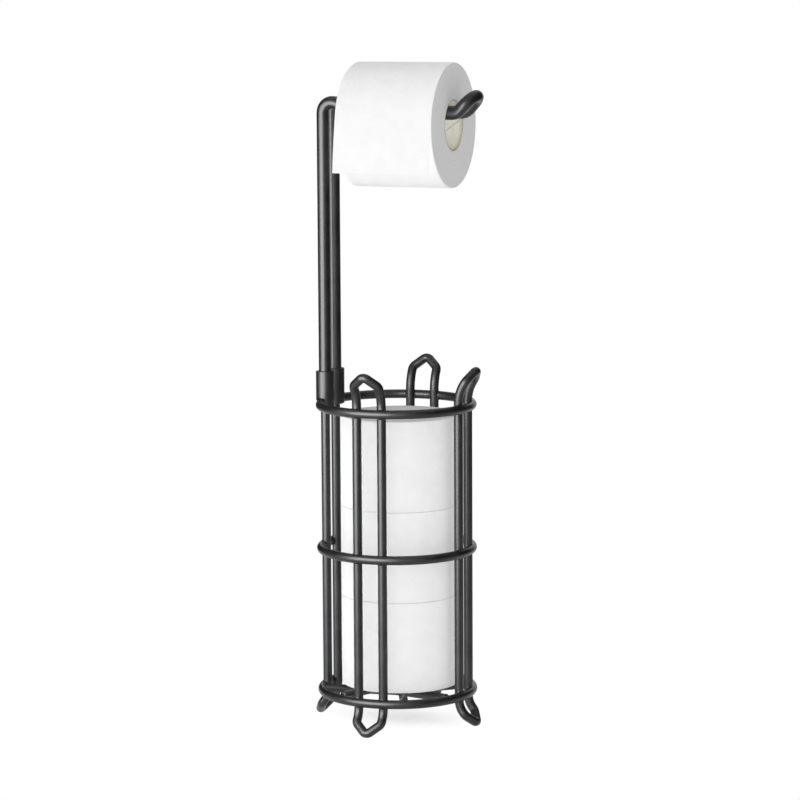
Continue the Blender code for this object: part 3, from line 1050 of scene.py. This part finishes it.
    def build_leg_loop(self, side: Side) -> None:
        """A closed loop of wire with a pointed foot and a pointed tip.

        Args:
            side: The side of the basket.
        """
        flat = densified(self.leg_route(None), self.leg_step)[:-1]
        grid = closed_tube(*self.bent_out(flat, side), self.leg_wire / 2, self.wire_sides)
        self.piece(f"{side.name.lower()}_leg_loop", [ring_shell(self.flat_footed(grid))])

    def build_left_leg(self) -> None:
        """The left pair: one wire with a pointed foot, whose ends stand in the sockets."""
        flat = densified(self.leg_route(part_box("left_leg")[1].z), self.leg_step)
        radius = self.leg_wire / 2
        face = radius - self.sleeve_edge
        end = np.array([(0, 0), (0, face / 2), (0, face), (self.sleeve_edge, radius)])
        shell = open_tube(*self.bent_out(flat, Side.LEFT), radius, self.wire_sides, end)
        shell.points = self.flat_footed(shell.points)
        self.piece("left_leg", [shell])

    @staticmethod
    def flat_footed(points: Array) -> Array:
        """Points with what lies under the floor raised to it, as a coat beds down under a foot."""
        return np.concatenate([points[..., :2], np.maximum(points[..., 2:], 0)], axis=-1)

    def build_bar(self, side: Side) -> None:
        """A base bar from ring to ring, bent in the middle, whose blunt ends are sunk into the ring.

        The right and left bars are level. The front and back ones pass under them at the middle, and rise
        from there to their ends.

        Args:
            side: The side that the bar's ends point to.
        """
        ring_height = self.heights[0]
        if side in (Side.RIGHT, Side.LEFT):
            height = end_height = ring_height + self.bar_layer_offset
        else:
            height = ring_height - self.bar_layer_offset
            end_height = ring_height + self.lower_bar_end_rise
        end_radius = self.ring_radius - self.ring_wire * self.bar_end_share
        across = end_radius * math.cos(self.bar_end_angle)
        out = end_radius * math.sin(self.bar_end_angle)
        radius, edge = self.base_wire / 2, self.bar_end_edge
        slope = math.atan2(out - radius, across)
        crest = radius - self.bar_bend * (1 / math.cos(slope) - 1)
        corners = [(-across, -out, end_height), (0, -crest, height), (across, -out, end_height)]
        centre = densified(rounded(corners, [0, self.bar_bend, 0], self.bar_bend_step), self.bar_step)
        ahead = unit(np.gradient(centre, axis=0))
        normal = unit(UPWARD - (ahead @ UPWARD)[:, None] * ahead)
        face = [(0, 0), (0, (radius - edge) / 2)]
        rim = arc((edge, radius - edge), edge, math.pi, QUARTER_TURN, self.bar_edge_points)
        end = np.concatenate([face, rim])
        shell = open_tube(side.turn(centre), side.turn(normal), radius, self.wire_sides, end)
        self.piece(f"base_bar_{side.name.lower()}", [shell])

    def saddle(self, plan: Array, bottom: float) -> Array:
        """How low a socket's wall reaches over each place: onto the top ring's surface, or down inside it.

        Over the ring the height is that of its round section, h + sqrt(b^2 - (rho - R)^2), held level
        near its outer edge, and inwards of the ring it steps down to the socket's bottom.

        Args:
            plan: Places in plan, ... x 2.
            bottom: The socket's lowest height.

        Returns:
            The height at each place.
        """
        b = self.ring_wire / 2
        offset = np.linalg.norm(plan, axis=-1) - self.ring_radius
        on_ring = self.heights[-1] + np.sqrt(b**2 - np.clip(offset, -b, self.overhang_share * b) ** 2)
        low, high = self.saddle_step
        return bottom + (on_ring - bottom) * smooth_step(offset, -b + low, -b + high)

    def build_sleeve(self, node: str, sign: int) -> None:
        """A socket, turned from a wide bore over a narrow one, and coped over the top ring.

        Each row of the grid is a circle of radius r about the socket's axis: the fillet, the wall, the rim,
        the lip, and down inside. The lowest rows take their height from the saddle instead of a level.

        Args:
            node: The socket's node.
            sign: Which wire of the left pair it stands on.
        """
        low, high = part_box(node)
        outer, edge = self.sleeve_diameter / 2, self.sleeve_edge
        wide, narrow = self.socket_bore / 2, self.leg_wire / 2 + self.wire_clearance
        floor, rim_height = high.z - self.socket_depth, high.z - edge
        count = self.sleeve_edge_points
        rim = arc((outer - edge, rim_height), edge, 0, QUARTER_TURN, count)
        lip = arc((wide + edge, rim_height), edge, QUARTER_TURN, math.pi, count)
        inside = [(wide, floor + self.socket_bore_row), (wide, floor), (narrow, floor)]
        turned = np.concatenate([rim, lip, inside])[:, :, None]

        angles = np.linspace(0, math.tau, self.sleeve_columns, endpoint=False)
        ring = np.stack([np.cos(angles), np.sin(angles)], axis=1)
        axis = np.array([-self.pair_plane, sign * self.half_spacing])
        seam = self.saddle(axis + outer * ring, low.z)
        inner_low = self.saddle(axis + narrow * ring, low.z)
        fillet_radii, fillet_heights = self.socket_fillet(axis, ring, seam, low.z)
        foot = seam + self.socket_flare
        levels = np.linspace(0, 1, self.sleeve_levels)[1:-1, None]
        wall = foot + (rim_height - foot) * levels
        full = np.ones(len(ring))
        radii = [fillet_radii, outer * np.ones_like(wall), turned[:, 0] * full, [narrow * full]]
        heights = [fillet_heights, wall, turned[:, 1] * full, [inner_low]]
        plan = axis + np.concatenate(radii)[..., None] * ring
        grid = np.concatenate([plan, np.concatenate(heights)[..., None]], axis=-1)
        self.piece(node, [ring_shell(grid)])

    def socket_fillet(self, axis: Array, ring: Array, seam: Array, bottom: float) -> tuple[Array, Array]:
        """The weld's fillet between a socket and the top ring, as rows of the socket's own grid.

        At each angle it bows from the ring's surface to the socket's wall, drawn in to the seam. It gets
        narrow where the socket overhangs the ring's outer edge and where it hangs inside the ring, and a
        first row lies hidden inside the ring.

        Args:
            axis: The socket's axis in plan.
            ring: The unit circle's points, one for each column.
            seam: The height of the seam at each column.
            bottom: The socket's lowest height.

        Returns:
            The radii and the heights, rows x columns, row by row upwards.
        """
        outer, flare, b = self.sleeve_diameter / 2, self.socket_flare, self.ring_wire / 2
        offset = (np.linalg.norm(axis + outer * ring, axis=1) - self.ring_radius) / b
        spread = (1 - smooth_step(offset, *self.flare_outside)) * smooth_step(offset, *self.flare_inside)
        reach = outer + flare * spread
        on_ring = self.saddle(axis + reach[:, None] * ring, bottom)
        share = np.linspace(0, 1, self.fillet_points)[:, None]
        hidden = np.full(len(ring), outer - flare / 2)
        radii = np.concatenate([[hidden], bow(reach, outer, outer, share)])
        heights = np.concatenate([[seam - flare / 2], bow(on_ring, seam, seam + flare, share)])
        return radii, heights


@dataclass
class HairpinArm:
    """The upright and arm: one tube bent into a hairpin, which plugs into the two sockets."""

    coat: bpy.types.Material
    basket: Basket
    tube_diameter: float = 0.0124
    wall: float = 0.0012
    bore_depth: float = 0.015
    end_row: float = 0.002
    crest_bend: float = 0.0104
    step_down: float = 0.0096
    crest_height: float = 0.6192
    end_bend: float = 0.010
    end_lean: float = math.radians(47)
    end_straight: float = 0.005
    level_margin: float = 0.0091
    side_bend_step: float = math.radians(3)
    hairpin_step: float = math.radians(4)
    tube_step: float = 0.0025
    tube_sides: int = 40

    def profile(self) -> Array:
        """The side view of the tube's route: up, over the crest, down a step, level, and up again.

        Returns:
            Its points as (x, z).
        """
        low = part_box("upright_arm")[0]
        roll_low, roll_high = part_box("hanging_roll_paper")
        start_x = -self.basket.pair_plane
        arm_height = self.crest_height - self.step_down
        step_turn = math.acos(1 - self.step_down / (2 * self.crest_bend))
        step_bend = self.crest_bend * math.tan(step_turn / 2)
        step_start = start_x + self.crest_bend
        level_start = step_start + 2 * self.crest_bend * math.sin(step_turn)
        end_turn = self.end_bend * math.tan(self.end_lean / 2)
        level_end = level_start + (roll_high.x - roll_low.x) + self.level_margin
        bend_end = level_end + end_turn
        reach = end_turn + self.end_straight + self.basket.half_spacing
        corners = [
            (start_x, low.z),
            (start_x, self.crest_height),
            (step_start + step_bend, self.crest_height),
            (level_start - step_bend, arm_height),
            (bend_end, arm_height),
            (bend_end + reach * math.cos(self.end_lean), arm_height + reach * math.sin(self.end_lean)),
        ]
        return rounded(corners, [0, *[self.crest_bend] * 3, self.end_bend, 0], self.side_bend_step)

    def build(self) -> None:
        """Lays the hairpin on its side view and carries a circle along it.

        The hairpin drawn flat is (across, length along the side view), with a half circle at its end.
        Each of its points goes to the side view's point at that length, and the normal is square to it.
        """
        profile = self.profile()
        lengths, numbers = path_lengths(profile), np.arange(len(profile))
        half = self.basket.half_spacing
        corners = [(-half, 0), (-half, lengths[-1]), (half, lengths[-1]), (half, 0)]
        flat = densified(rounded(corners, [0, half, half, 0], self.hairpin_step), self.tube_step)
        along = np.interp(flat[:, 1], lengths, numbers)
        x, z = (np.interp(flat[:, 1], lengths, profile[:, axis]) for axis in (0, 1))
        heading = unit(np.gradient(profile, axis=0))
        ahead = unit(np.stack([np.interp(along, numbers, heading[:, axis]) for axis in (0, 1)], axis=1))
        centre = np.stack([x, flat[:, 0], z], axis=1)
        normal = np.stack([-ahead[:, 1], np.zeros(len(ahead)), ahead[:, 0]], axis=1)
        radius, bore, lip = self.tube_diameter / 2, self.tube_diameter / 2 - self.wall, self.wall / 4
        hole = [(self.bore_depth, 0), (self.bore_depth, bore), (lip, bore)]
        rim = [(0, bore + lip), (0, radius - lip), (lip, radius), (self.end_row, radius)]
        shell = open_tube(centre, normal, radius, self.tube_sides, np.array([*hole, *rim]))
        make_piece("coated_upright_arm", [shell], self.coat, Body.UPRIGHT, "upright_arm")


@dataclass
class PaperRoll:
    """A roll of paper on its cardboard core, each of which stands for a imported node."""

    body: Body
    axis: Axis
    seed: int
    tissue: bpy.types.Material
    board: bpy.types.Material
    columns: int = 192
    edge: float = 0.0009
    edge_rows: int = 4
    side_rows: int = 34
    end_rows: int = 46
    end_start: Span = (0.8, 1.5)
    step: float = 0.0003
    tail_angle: float = math.radians(150)
    unevenness: float = 0.00012
    pressed_from: float = 0.9
    wave_slant: float = 0.4
    height_waves: Span = (0.031, 0.019)
    girth_waves: Span = (0.047, 0.027)
    layer_relief: float = 0.000006
    layer_waves: tuple[float, float, float] = (0.0019, 0.0031, 0.0053)
    core_wall: float = 0.0009
    core_gap: float = 0.0003
    core_rows: int = 24
    core_columns: int = 96
    seam_crowding: float = 0.08
    seam_slope: float = 0.8
    seam_width: float = 0.0005
    seam_depth: float = 0.00025
    spare_turn: float = math.radians(40)
    seam_shown_depth: float = 0.0063
    seam_shown_rise: float = 0.0019

    def __post_init__(self) -> None:
        """Reads the roll's place and size from the frame."""
        low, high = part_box(f"{self.body.value}_paper")
        size, centre = high - low, (low + high) / 2
        upright = self.axis is Axis.UP
        self.radius = max(size.x if upright else size.z, size.y) / 2
        self.length = size.z if upright else size.x
        self.start = np.array((centre.x, centre.y, low.z) if upright else (low.x, centre.y, centre.z))
        core_low, core_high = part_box(f"{self.body.value}_core")
        self.core_radius = (core_high.y - core_low.y) / 2
        self.bore_radius = self.core_radius - self.core_wall

    def build(self) -> None:
        """Builds the paper and the core."""
        self.build_paper()
        self.build_core()

    def laid(self, radius: Array, angle: Array, height: Array) -> Array:
        """Turns places about the roll's axis into places in the frame.

        Args:
            radius: Distances from the axis.
            angle: Angles about it.
            height: Distances along it.

        Returns:
            (r cos a, r sin a, h) for an upright roll, or (h, r cos a, r sin a) for one on the arm.
        """
        along = np.broadcast_to(height, np.broadcast(radius, angle).shape)
        first, second = radius * np.cos(angle), radius * np.sin(angle)
        parts = [first, second, along] if self.axis is Axis.UP else [along, first, second]
        return np.stack(parts, axis=-1) + self.start

    def section(self) -> tuple[Array, Array, Array]:
        """The paper's closed section: up the outside, round a small edge, in over the end, and back below.

        Returns:
            Its radii, its heights, and a share that is 1 on its two end faces.
        """
        rim = self.radius - self.edge
        quarter = np.linspace(0, QUARTER_TURN, self.edge_rows)
        side = np.linspace(self.edge, self.length - self.edge, self.side_rows)[1:-1]
        across = np.linspace(rim, self.core_radius + self.core_gap + self.step, self.end_rows)[1:]
        turned_in = self.length - self.edge + self.edge * np.sin(quarter)
        radii = np.concatenate([rim + self.edge * np.cos(quarter), across])
        heights = np.concatenate([turned_in, np.full(len(across), self.length)])
        on_end = np.concatenate([smooth_step(quarter, *self.end_start), np.ones(len(across))])
        return (
            np.concatenate([np.full(len(side), self.radius), radii, radii[::-1]]),
            np.concatenate([side, heights, self.length - heights[::-1]]),
            np.concatenate([np.zeros(len(side)), on_end, on_end[::-1]]),
        )

    def build_paper(self) -> None:
        """The wound paper.

        The outside is a spiral, r - step * turn, so that the last layer's end shows as a fine step. The
        outside dips in by a slow wave of angle and height, and the end faces by a wave of the
        spiral's own radius, as bundles of layers do.
        """
        radii, heights, on_end = (values[:, None] for values in self.section())
        turn = np.linspace(0, 1, self.columns)
        angle = self.tail_angle + math.tau * turn
        wound = radii + self.step * turn
        height = np.broadcast_to(heights, wound.shape)
        slanted = height + self.wave_slant * self.radius * np.sin(angle)
        wave = ripple(slanted, self.height_waves, self.seed)
        around = ripple(self.radius * np.sin(angle + self.seed), self.girth_waves, self.seed + 1)
        outside = (1 - on_end) * smooth_step(radii, self.pressed_from * self.radius, self.radius)
        pressed = outside * self.unevenness * (1 + (wave + around) / 2)
        layers = ripple(wound, self.layer_waves, self.seed + 2)
        dip = on_end * self.layer_relief * (1 + layers) / 2
        dip = dip * smooth_step(self.radius - radii, self.edge, 3 * self.edge)
        height = height + np.where(height > self.length / 2, -dip, dip)
        girth = np.broadcast_to(math.tau * self.radius * turn, wound.shape)
        grid = self.laid(radii - self.step * turn - pressed, angle, height)
        shell = ring_shell(grid, np.stack([girth, wound], axis=-1), roll_end=on_end)
        node = f"{self.body.value}_paper"
        make_piece(f"wound_{node}", [shell], self.tissue, self.body, node)

    def build_core(self) -> None:
        """The cardboard tube, whose columns run along the wound seam.

        A point's angle is its column's angle plus the seam's slope times its height, so one column follows
        the seam, and the wall is thinner there by a groove.
        """
        outer, inner, length = self.core_radius, self.bore_radius, self.length
        lip = self.core_wall / 4
        steps = np.linspace(0, length, self.core_rows)[1:-1]
        bore, skin = (np.column_stack([np.full(len(steps), radius), steps]) for radius in (inner, outer))
        top = np.array(
            [(inner, length - lip), (inner + lip, length), (outer - lip, length), (outer, length - lip)]
        )
        base = (0, length) + top[::-1] * (1, -1)
        section = np.concatenate([bore, top, skin[::-1], base])
        radii, heights = section[:, :1], section[:, 1:]
        spread = np.linspace(-1, 1, self.core_columns, endpoint=False)
        column = math.pi * spread * (self.seam_crowding + (1 - self.seam_crowding) * spread**2)
        groove = np.exp(-((column * inner / self.seam_width) ** 2)) * (radii < inner + lip / 2)
        angle = column + self.seam_start() + self.seam_slope / inner * heights
        cut = smooth_step(np.abs(heights - length / 2), length / 2 - 2 * lip, length / 2)
        grid = self.laid(radii + self.seam_depth * groove, angle, heights)
        node = f"{self.body.value}_core"
        shell = ring_shell(grid, seam=groove, cut_edge=cut)
        make_piece(f"wound_{node}", [shell], self.board, self.body, node)

    def seam_start(self) -> float:
        """The seam's angle at the roll's low end.

        Returns:
            An angle of its own for each spare roll. For the roll in use, the angle from which the seam
            climbs past the axis where the photo shows it.
        """
        if self.axis is Axis.UP:
            return self.spare_turn * self.seed
        climbed = self.seam_slope / self.bore_radius * (self.length - self.seam_shown_depth)
        return math.asin(self.seam_shown_rise / self.bore_radius) - climbed


@dataclass
class LooseSheet:
    """The roll's loose end: one sheet, laid over the front of the roll and hanging free below."""

    roll: PaperRoll
    tissue: bpy.types.Material
    columns: int = 201
    gap: float = 0.0002
    thickness: float = 0.0003
    wrap_angle: float = math.radians(62)
    wrap_rows: int = 60
    leave_angle: float = math.radians(10)
    cad_lift: float = 0.0007
    lift_span: Span = (0.3, 1.0)
    tail_length: float = 0.0555
    tail_radius: float = 0.55
    tail_rows: int = 50
    free_from: float = 0.45
    wave: float = 0.0007
    wave_slant: float = 0.3
    wave_lengths: Span = (0.071, 0.043)
    wave_seed: int = 11
    tooth: float = 0.0003
    tooth_spacing: int = 3
    thin_start: float = 0.15
    thin_run: float = 0.004
    drawn_in: float = 0.0008
    drawn_run: float = 0.022

    def spine(self) -> tuple[Array, Array]:
        """The sheet's side view.

        On the roll the heading h goes from the wrap angle to the leaving angle, and the point is
        (-R cos h, R sin h). The tail turns on at a steady rate, and its points are the running sums of
        step * (-sin h, -cos h).

        Returns:
            Its points as (y, z) about the roll's axis, and its heading from straight down at each of them.
        """
        share = np.linspace(0, 1, self.wrap_rows)
        wrapped = self.wrap_angle + (self.leave_angle - self.wrap_angle) * share
        lift = (self.cad_lift - self.gap) * smooth_step(share, *self.lift_span)
        reach = self.roll.radius + self.gap + self.thickness / 2 + lift
        laid = reach[:, None] * np.column_stack([-np.cos(wrapped), np.sin(wrapped)])
        run = self.tail_length / self.tail_rows
        heading = self.leave_angle - run / self.tail_radius * (np.arange(self.tail_rows) + 1)
        steps = -run * np.column_stack([np.sin(heading), np.cos(heading)])
        tail = laid[-1] + np.cumsum(steps, axis=0)
        return np.concatenate([laid, tail]), np.concatenate([wrapped, heading])

    def faces(self, lengths: Array, spine: Array, heading: Array) -> list[Array]:
        """The sheet's front and back.

        The free end waves gently across its width, its lower edge is torn along a row of fine teeth, and
        its upper end is thinner and a little narrower.

        Args:
            lengths: How far along the sheet each row lies.
            spine: The side view's points.
            heading: The side view's heading.

        Returns:
            Rows x columns x 3 points for each face.
        """
        inset = self.drawn_in * (1 - smooth_step(lengths, 0, self.drawn_run))[:, None]
        share = np.linspace(0, 1, self.columns)
        across = self.roll.start[0] + inset + share * (self.roll.length - 2 * inset)
        free = smooth_step(lengths, lengths[-1] * self.free_from, lengths[-1])[:, None]
        slanted = across + self.wave_slant * lengths[:, None]
        sway = free * self.wave * ripple(slanted, self.wave_lengths, self.wave_seed)
        is_last = (lengths == lengths[-1])[:, None]
        torn = is_last * self.tooth * (np.arange(self.columns) % self.tooth_spacing == 0)
        front = np.stack([-np.cos(heading), np.sin(heading)], axis=1)[:, None]
        down = np.stack([-np.sin(heading), -np.cos(heading)], axis=1)[:, None]
        flat = spine[:, None] + sway[..., None] * front + torn[..., None] * down
        taper = np.minimum(1, self.thin_start + lengths / self.thin_run)[:, None, None]
        half = taper * self.thickness / 2 * front
        faces = (flat + half, flat - half)
        return [np.concatenate([across[..., None], face + self.roll.start[1:]], axis=2) for face in faces]

    def build(self) -> None:
        """Joins front and back on one grid of columns, and closes it at the upper and lower end."""
        spine, heading = self.spine()
        lengths = path_lengths(spine)
        front, back = self.faces(lengths, spine, heading)
        grid = np.concatenate([front, back[:, ::-1]], axis=1)
        rows, columns = grid.shape[:2]
        along = np.broadcast_to(lengths[:, None], (rows, columns))
        edge = np.arange(self.columns - 1)
        start = np.stack([edge, edge + 1, columns - 2 - edge, columns - 1 - edge], axis=1)
        end = start + (rows - 1) * columns
        shell = Shell(
            points=grid.reshape(-1, 3),
            quads=np.concatenate([grid_quads(rows, columns, rows_close=False), start[:, ::-1], end]),
            winding=np.stack([along, np.zeros_like(along)], axis=-1).reshape(-1, 2),
            marks={"roll_end": np.zeros(rows * columns)},
        ).facing_out()
        width, node = self.roll.length, "loose_sheet"
        piece = make_piece(f"torn_{node}", [shell], self.tissue, self.roll.body, node)
        log.info("loose sheet: %.1f x %.1f mm flat", width / MILLIMETRE, lengths[-1] / MILLIMETRE)


@dataclass(frozen=True)
class SoftBox:
    """A soft studio lamp, placed by where it stands round the object, and aimed at the object's middle."""

    name: str
    azimuth: float
    elevation: float
    power: float
    distance: float = 1.9
    width: float = 1.2
    height: float = 1.2
    use: Use = Use.FILL

    def build(self, target: Vector) -> None:
        """Adds the lamp, which casts no shadow.

        Azimuth 0 stands in front, and it grows towards the right.

        Args:
            target: Where the lamp is aimed.
        """
        turn, rise = math.radians(self.azimuth), math.radians(self.elevation)
        offset = Vector((math.sin(turn) * math.cos(rise), -math.cos(turn) * math.cos(rise), math.sin(rise)))
        lamp = bpy.data.lights.new(self.name, "AREA")
        lamp.shape = "RECTANGLE"
        lamp.size, lamp.size_y = self.width, self.height
        lamp.energy = self.power
        lamp.use_shadow = False
        lamp.cycles.use_multiple_importance_sampling = self.use is Use.CARD
        holder = added(self.name, lamp)
        holder.location = target + offset * self.distance
        holder.rotation_euler = offset.to_track_quat("Z", "Y").to_euler()
        holder.visible_camera = False
        holder.visible_diffuse = self.use is Use.FILL
        holder.visible_glossy = self.use is Use.CARD


@dataclass(frozen=True)
class Studio:
    """The floor, the light and the camera, which was fitted to the rings, feet and tips in the photo."""

    camera_place: tuple[float, float, float] = (1.15981, -2.87954, 0.75627)
    camera_yaw: float = math.radians(21.868)
    camera_pitch: float = math.radians(7.923)
    camera_roll: float = math.radians(-0.331)
    lens: float = 141.871
    target_height: float = 0.33
    floor_size: float = 12.0
    ambient: float = 0.418
    lamps: tuple[SoftBox, ...] = (
        SoftBox("left_fill", azimuth=-78, elevation=-20, power=3.2),
        SoftBox("left_softbox", azimuth=-42, elevation=0, power=14.0),
        SoftBox("low_softbox", azimuth=0, elevation=-14, power=7.4, height=0.8),
        SoftBox("top_softbox", azimuth=58, elevation=60, power=10.1),
        SoftBox("right_fill", azimuth=88, elevation=-20, power=7.4),
        SoftBox(
            "card", azimuth=-18, elevation=0, power=52.0, distance=0.9, width=1.0, height=1.1, use=Use.CARD
        ),
    )
    flags: tuple[Span, ...] = ((60.0, 165.0), (-75.0, -145.0))
    flag_steps: int = 24
    flag_distance: float = 1.3
    flag_height: float = 2.0
    flag_hidden_from: tuple[str, ...] = ("camera", "diffuse", "transmission", "shadow")

    def build(self) -> None:
        """Sets up everything that isn't part of the object."""
        bpy.context.scene.view_settings.view_transform = "Standard"
        self.build_floor()
        self.build_flags()
        self.build_world()
        for lamp in self.lamps:
            lamp.build(self.target_height * Vector(UPWARD))
        self.build_camera()

    @staticmethod
    def staged(
        name: str, points: Array, faces: Sequence[Sequence[int]], finish: bpy.types.Material
    ) -> bpy.types.Object:
        """Adds a mesh object that belongs to the studio, and not to the part.

        Args:
            name: Its name.
            points: Its corner points, n x 3.
            faces: The corner numbers of each face.
            finish: Its material.

        Returns:
            The object.
        """
        thing = added(name, new_mesh(name, points, faces, finish))
        return thing

    def build_floor(self) -> None:
        """A plain floor far wider than the object."""
        corners = np.array([(-1, -1, 0), (1, -1, 0), (1, 1, 0), (-1, 1, 0)])
        self.staged("floor", self.floor_size / 2 * corners, [(0, 1, 2, 3)], PaleFloor().make())

    def build_flags(self) -> None:
        """Dark curved screens that only the coat's gloss sees, which give the wires their dark edges.

        A screen is a part of an upright cylinder: (d sin a, -d cos a, z) between two azimuths a.
        """
        cloth = DarkCloth().make()
        low = np.arange(self.flag_steps - 1)
        faces = np.stack([low, low + 1, low + 1 + self.flag_steps, low + self.flag_steps], axis=1).tolist()
        for index, span in enumerate(self.flags):
            turn = np.radians(np.linspace(*span, self.flag_steps))
            foot = np.column_stack([np.sin(turn), -np.cos(turn), np.zeros_like(turn)]) * self.flag_distance
            points = np.concatenate([foot, foot + self.flag_height * UPWARD])
            flag = self.staged(f"flag_{index}", points, faces, cloth)
            for ray in self.flag_hidden_from:
                setattr(flag, f"visible_{ray}", False)

    def build_world(self) -> None:
        """An even grey light from all round, which the camera, mirrors and glass see as white."""
        world = bpy.data.worlds.new("studio_world")
        bpy.context.scene.world = world
        recipe = Recipe(world)
        shown = recipe.looked_at()
        strength = shown + (1 - shown) * self.ambient
        recipe.finish(recipe.node("Background", sockets={"Color": opaque(WHITE), "Strength": strength}))

    def build_camera(self) -> None:
        """Places the camera by yaw, pitch and roll: its back points along -forward, and it has no shift."""
        yaw, pitch, roll = self.camera_yaw, self.camera_pitch, self.camera_roll
        flat = math.cos(pitch)
        forward = Vector((-math.sin(yaw) * flat, math.cos(yaw) * flat, -math.sin(pitch)))
        level = Vector((math.cos(yaw), math.sin(yaw), 0))
        upward = level.cross(forward)
        right = level * math.cos(roll) + upward * math.sin(roll)
        up = upward * math.cos(roll) - level * math.sin(roll)
        camera = added("camera", bpy.data.cameras.new("camera"))
        camera.data.lens = self.lens
        columns = Matrix((right, up, -forward)).transposed().to_4x4()
        camera.matrix_world = Matrix.Translation(self.camera_place) @ columns
        bpy.context.scene.camera = camera


def main() -> None:
    """Builds the studio and every sub-assembly, in order."""
    logging.basicConfig(level=logging.INFO, format="%(name)s: %(message)s")
    Studio().build()
    coat, tissue, board = BlackCoat().make(), Tissue().make(), CoreBoard().make()
    basket = Basket(coat)
    basket.build()
    HairpinArm(coat, basket).build()
    for seed, body in enumerate((Body.SPARE_BOTTOM, Body.SPARE_MIDDLE, Body.SPARE_TOP), start=1):
        PaperRoll(body, Axis.UP, seed, tissue, board).build()
    hanging = PaperRoll(Body.HANGING_ROLL, Axis.ALONG_ARM, seed=5, tissue=tissue, board=board)
    hanging.build()
    LooseSheet(hanging, tissue).build()


if __name__ == "__main__":
    main()
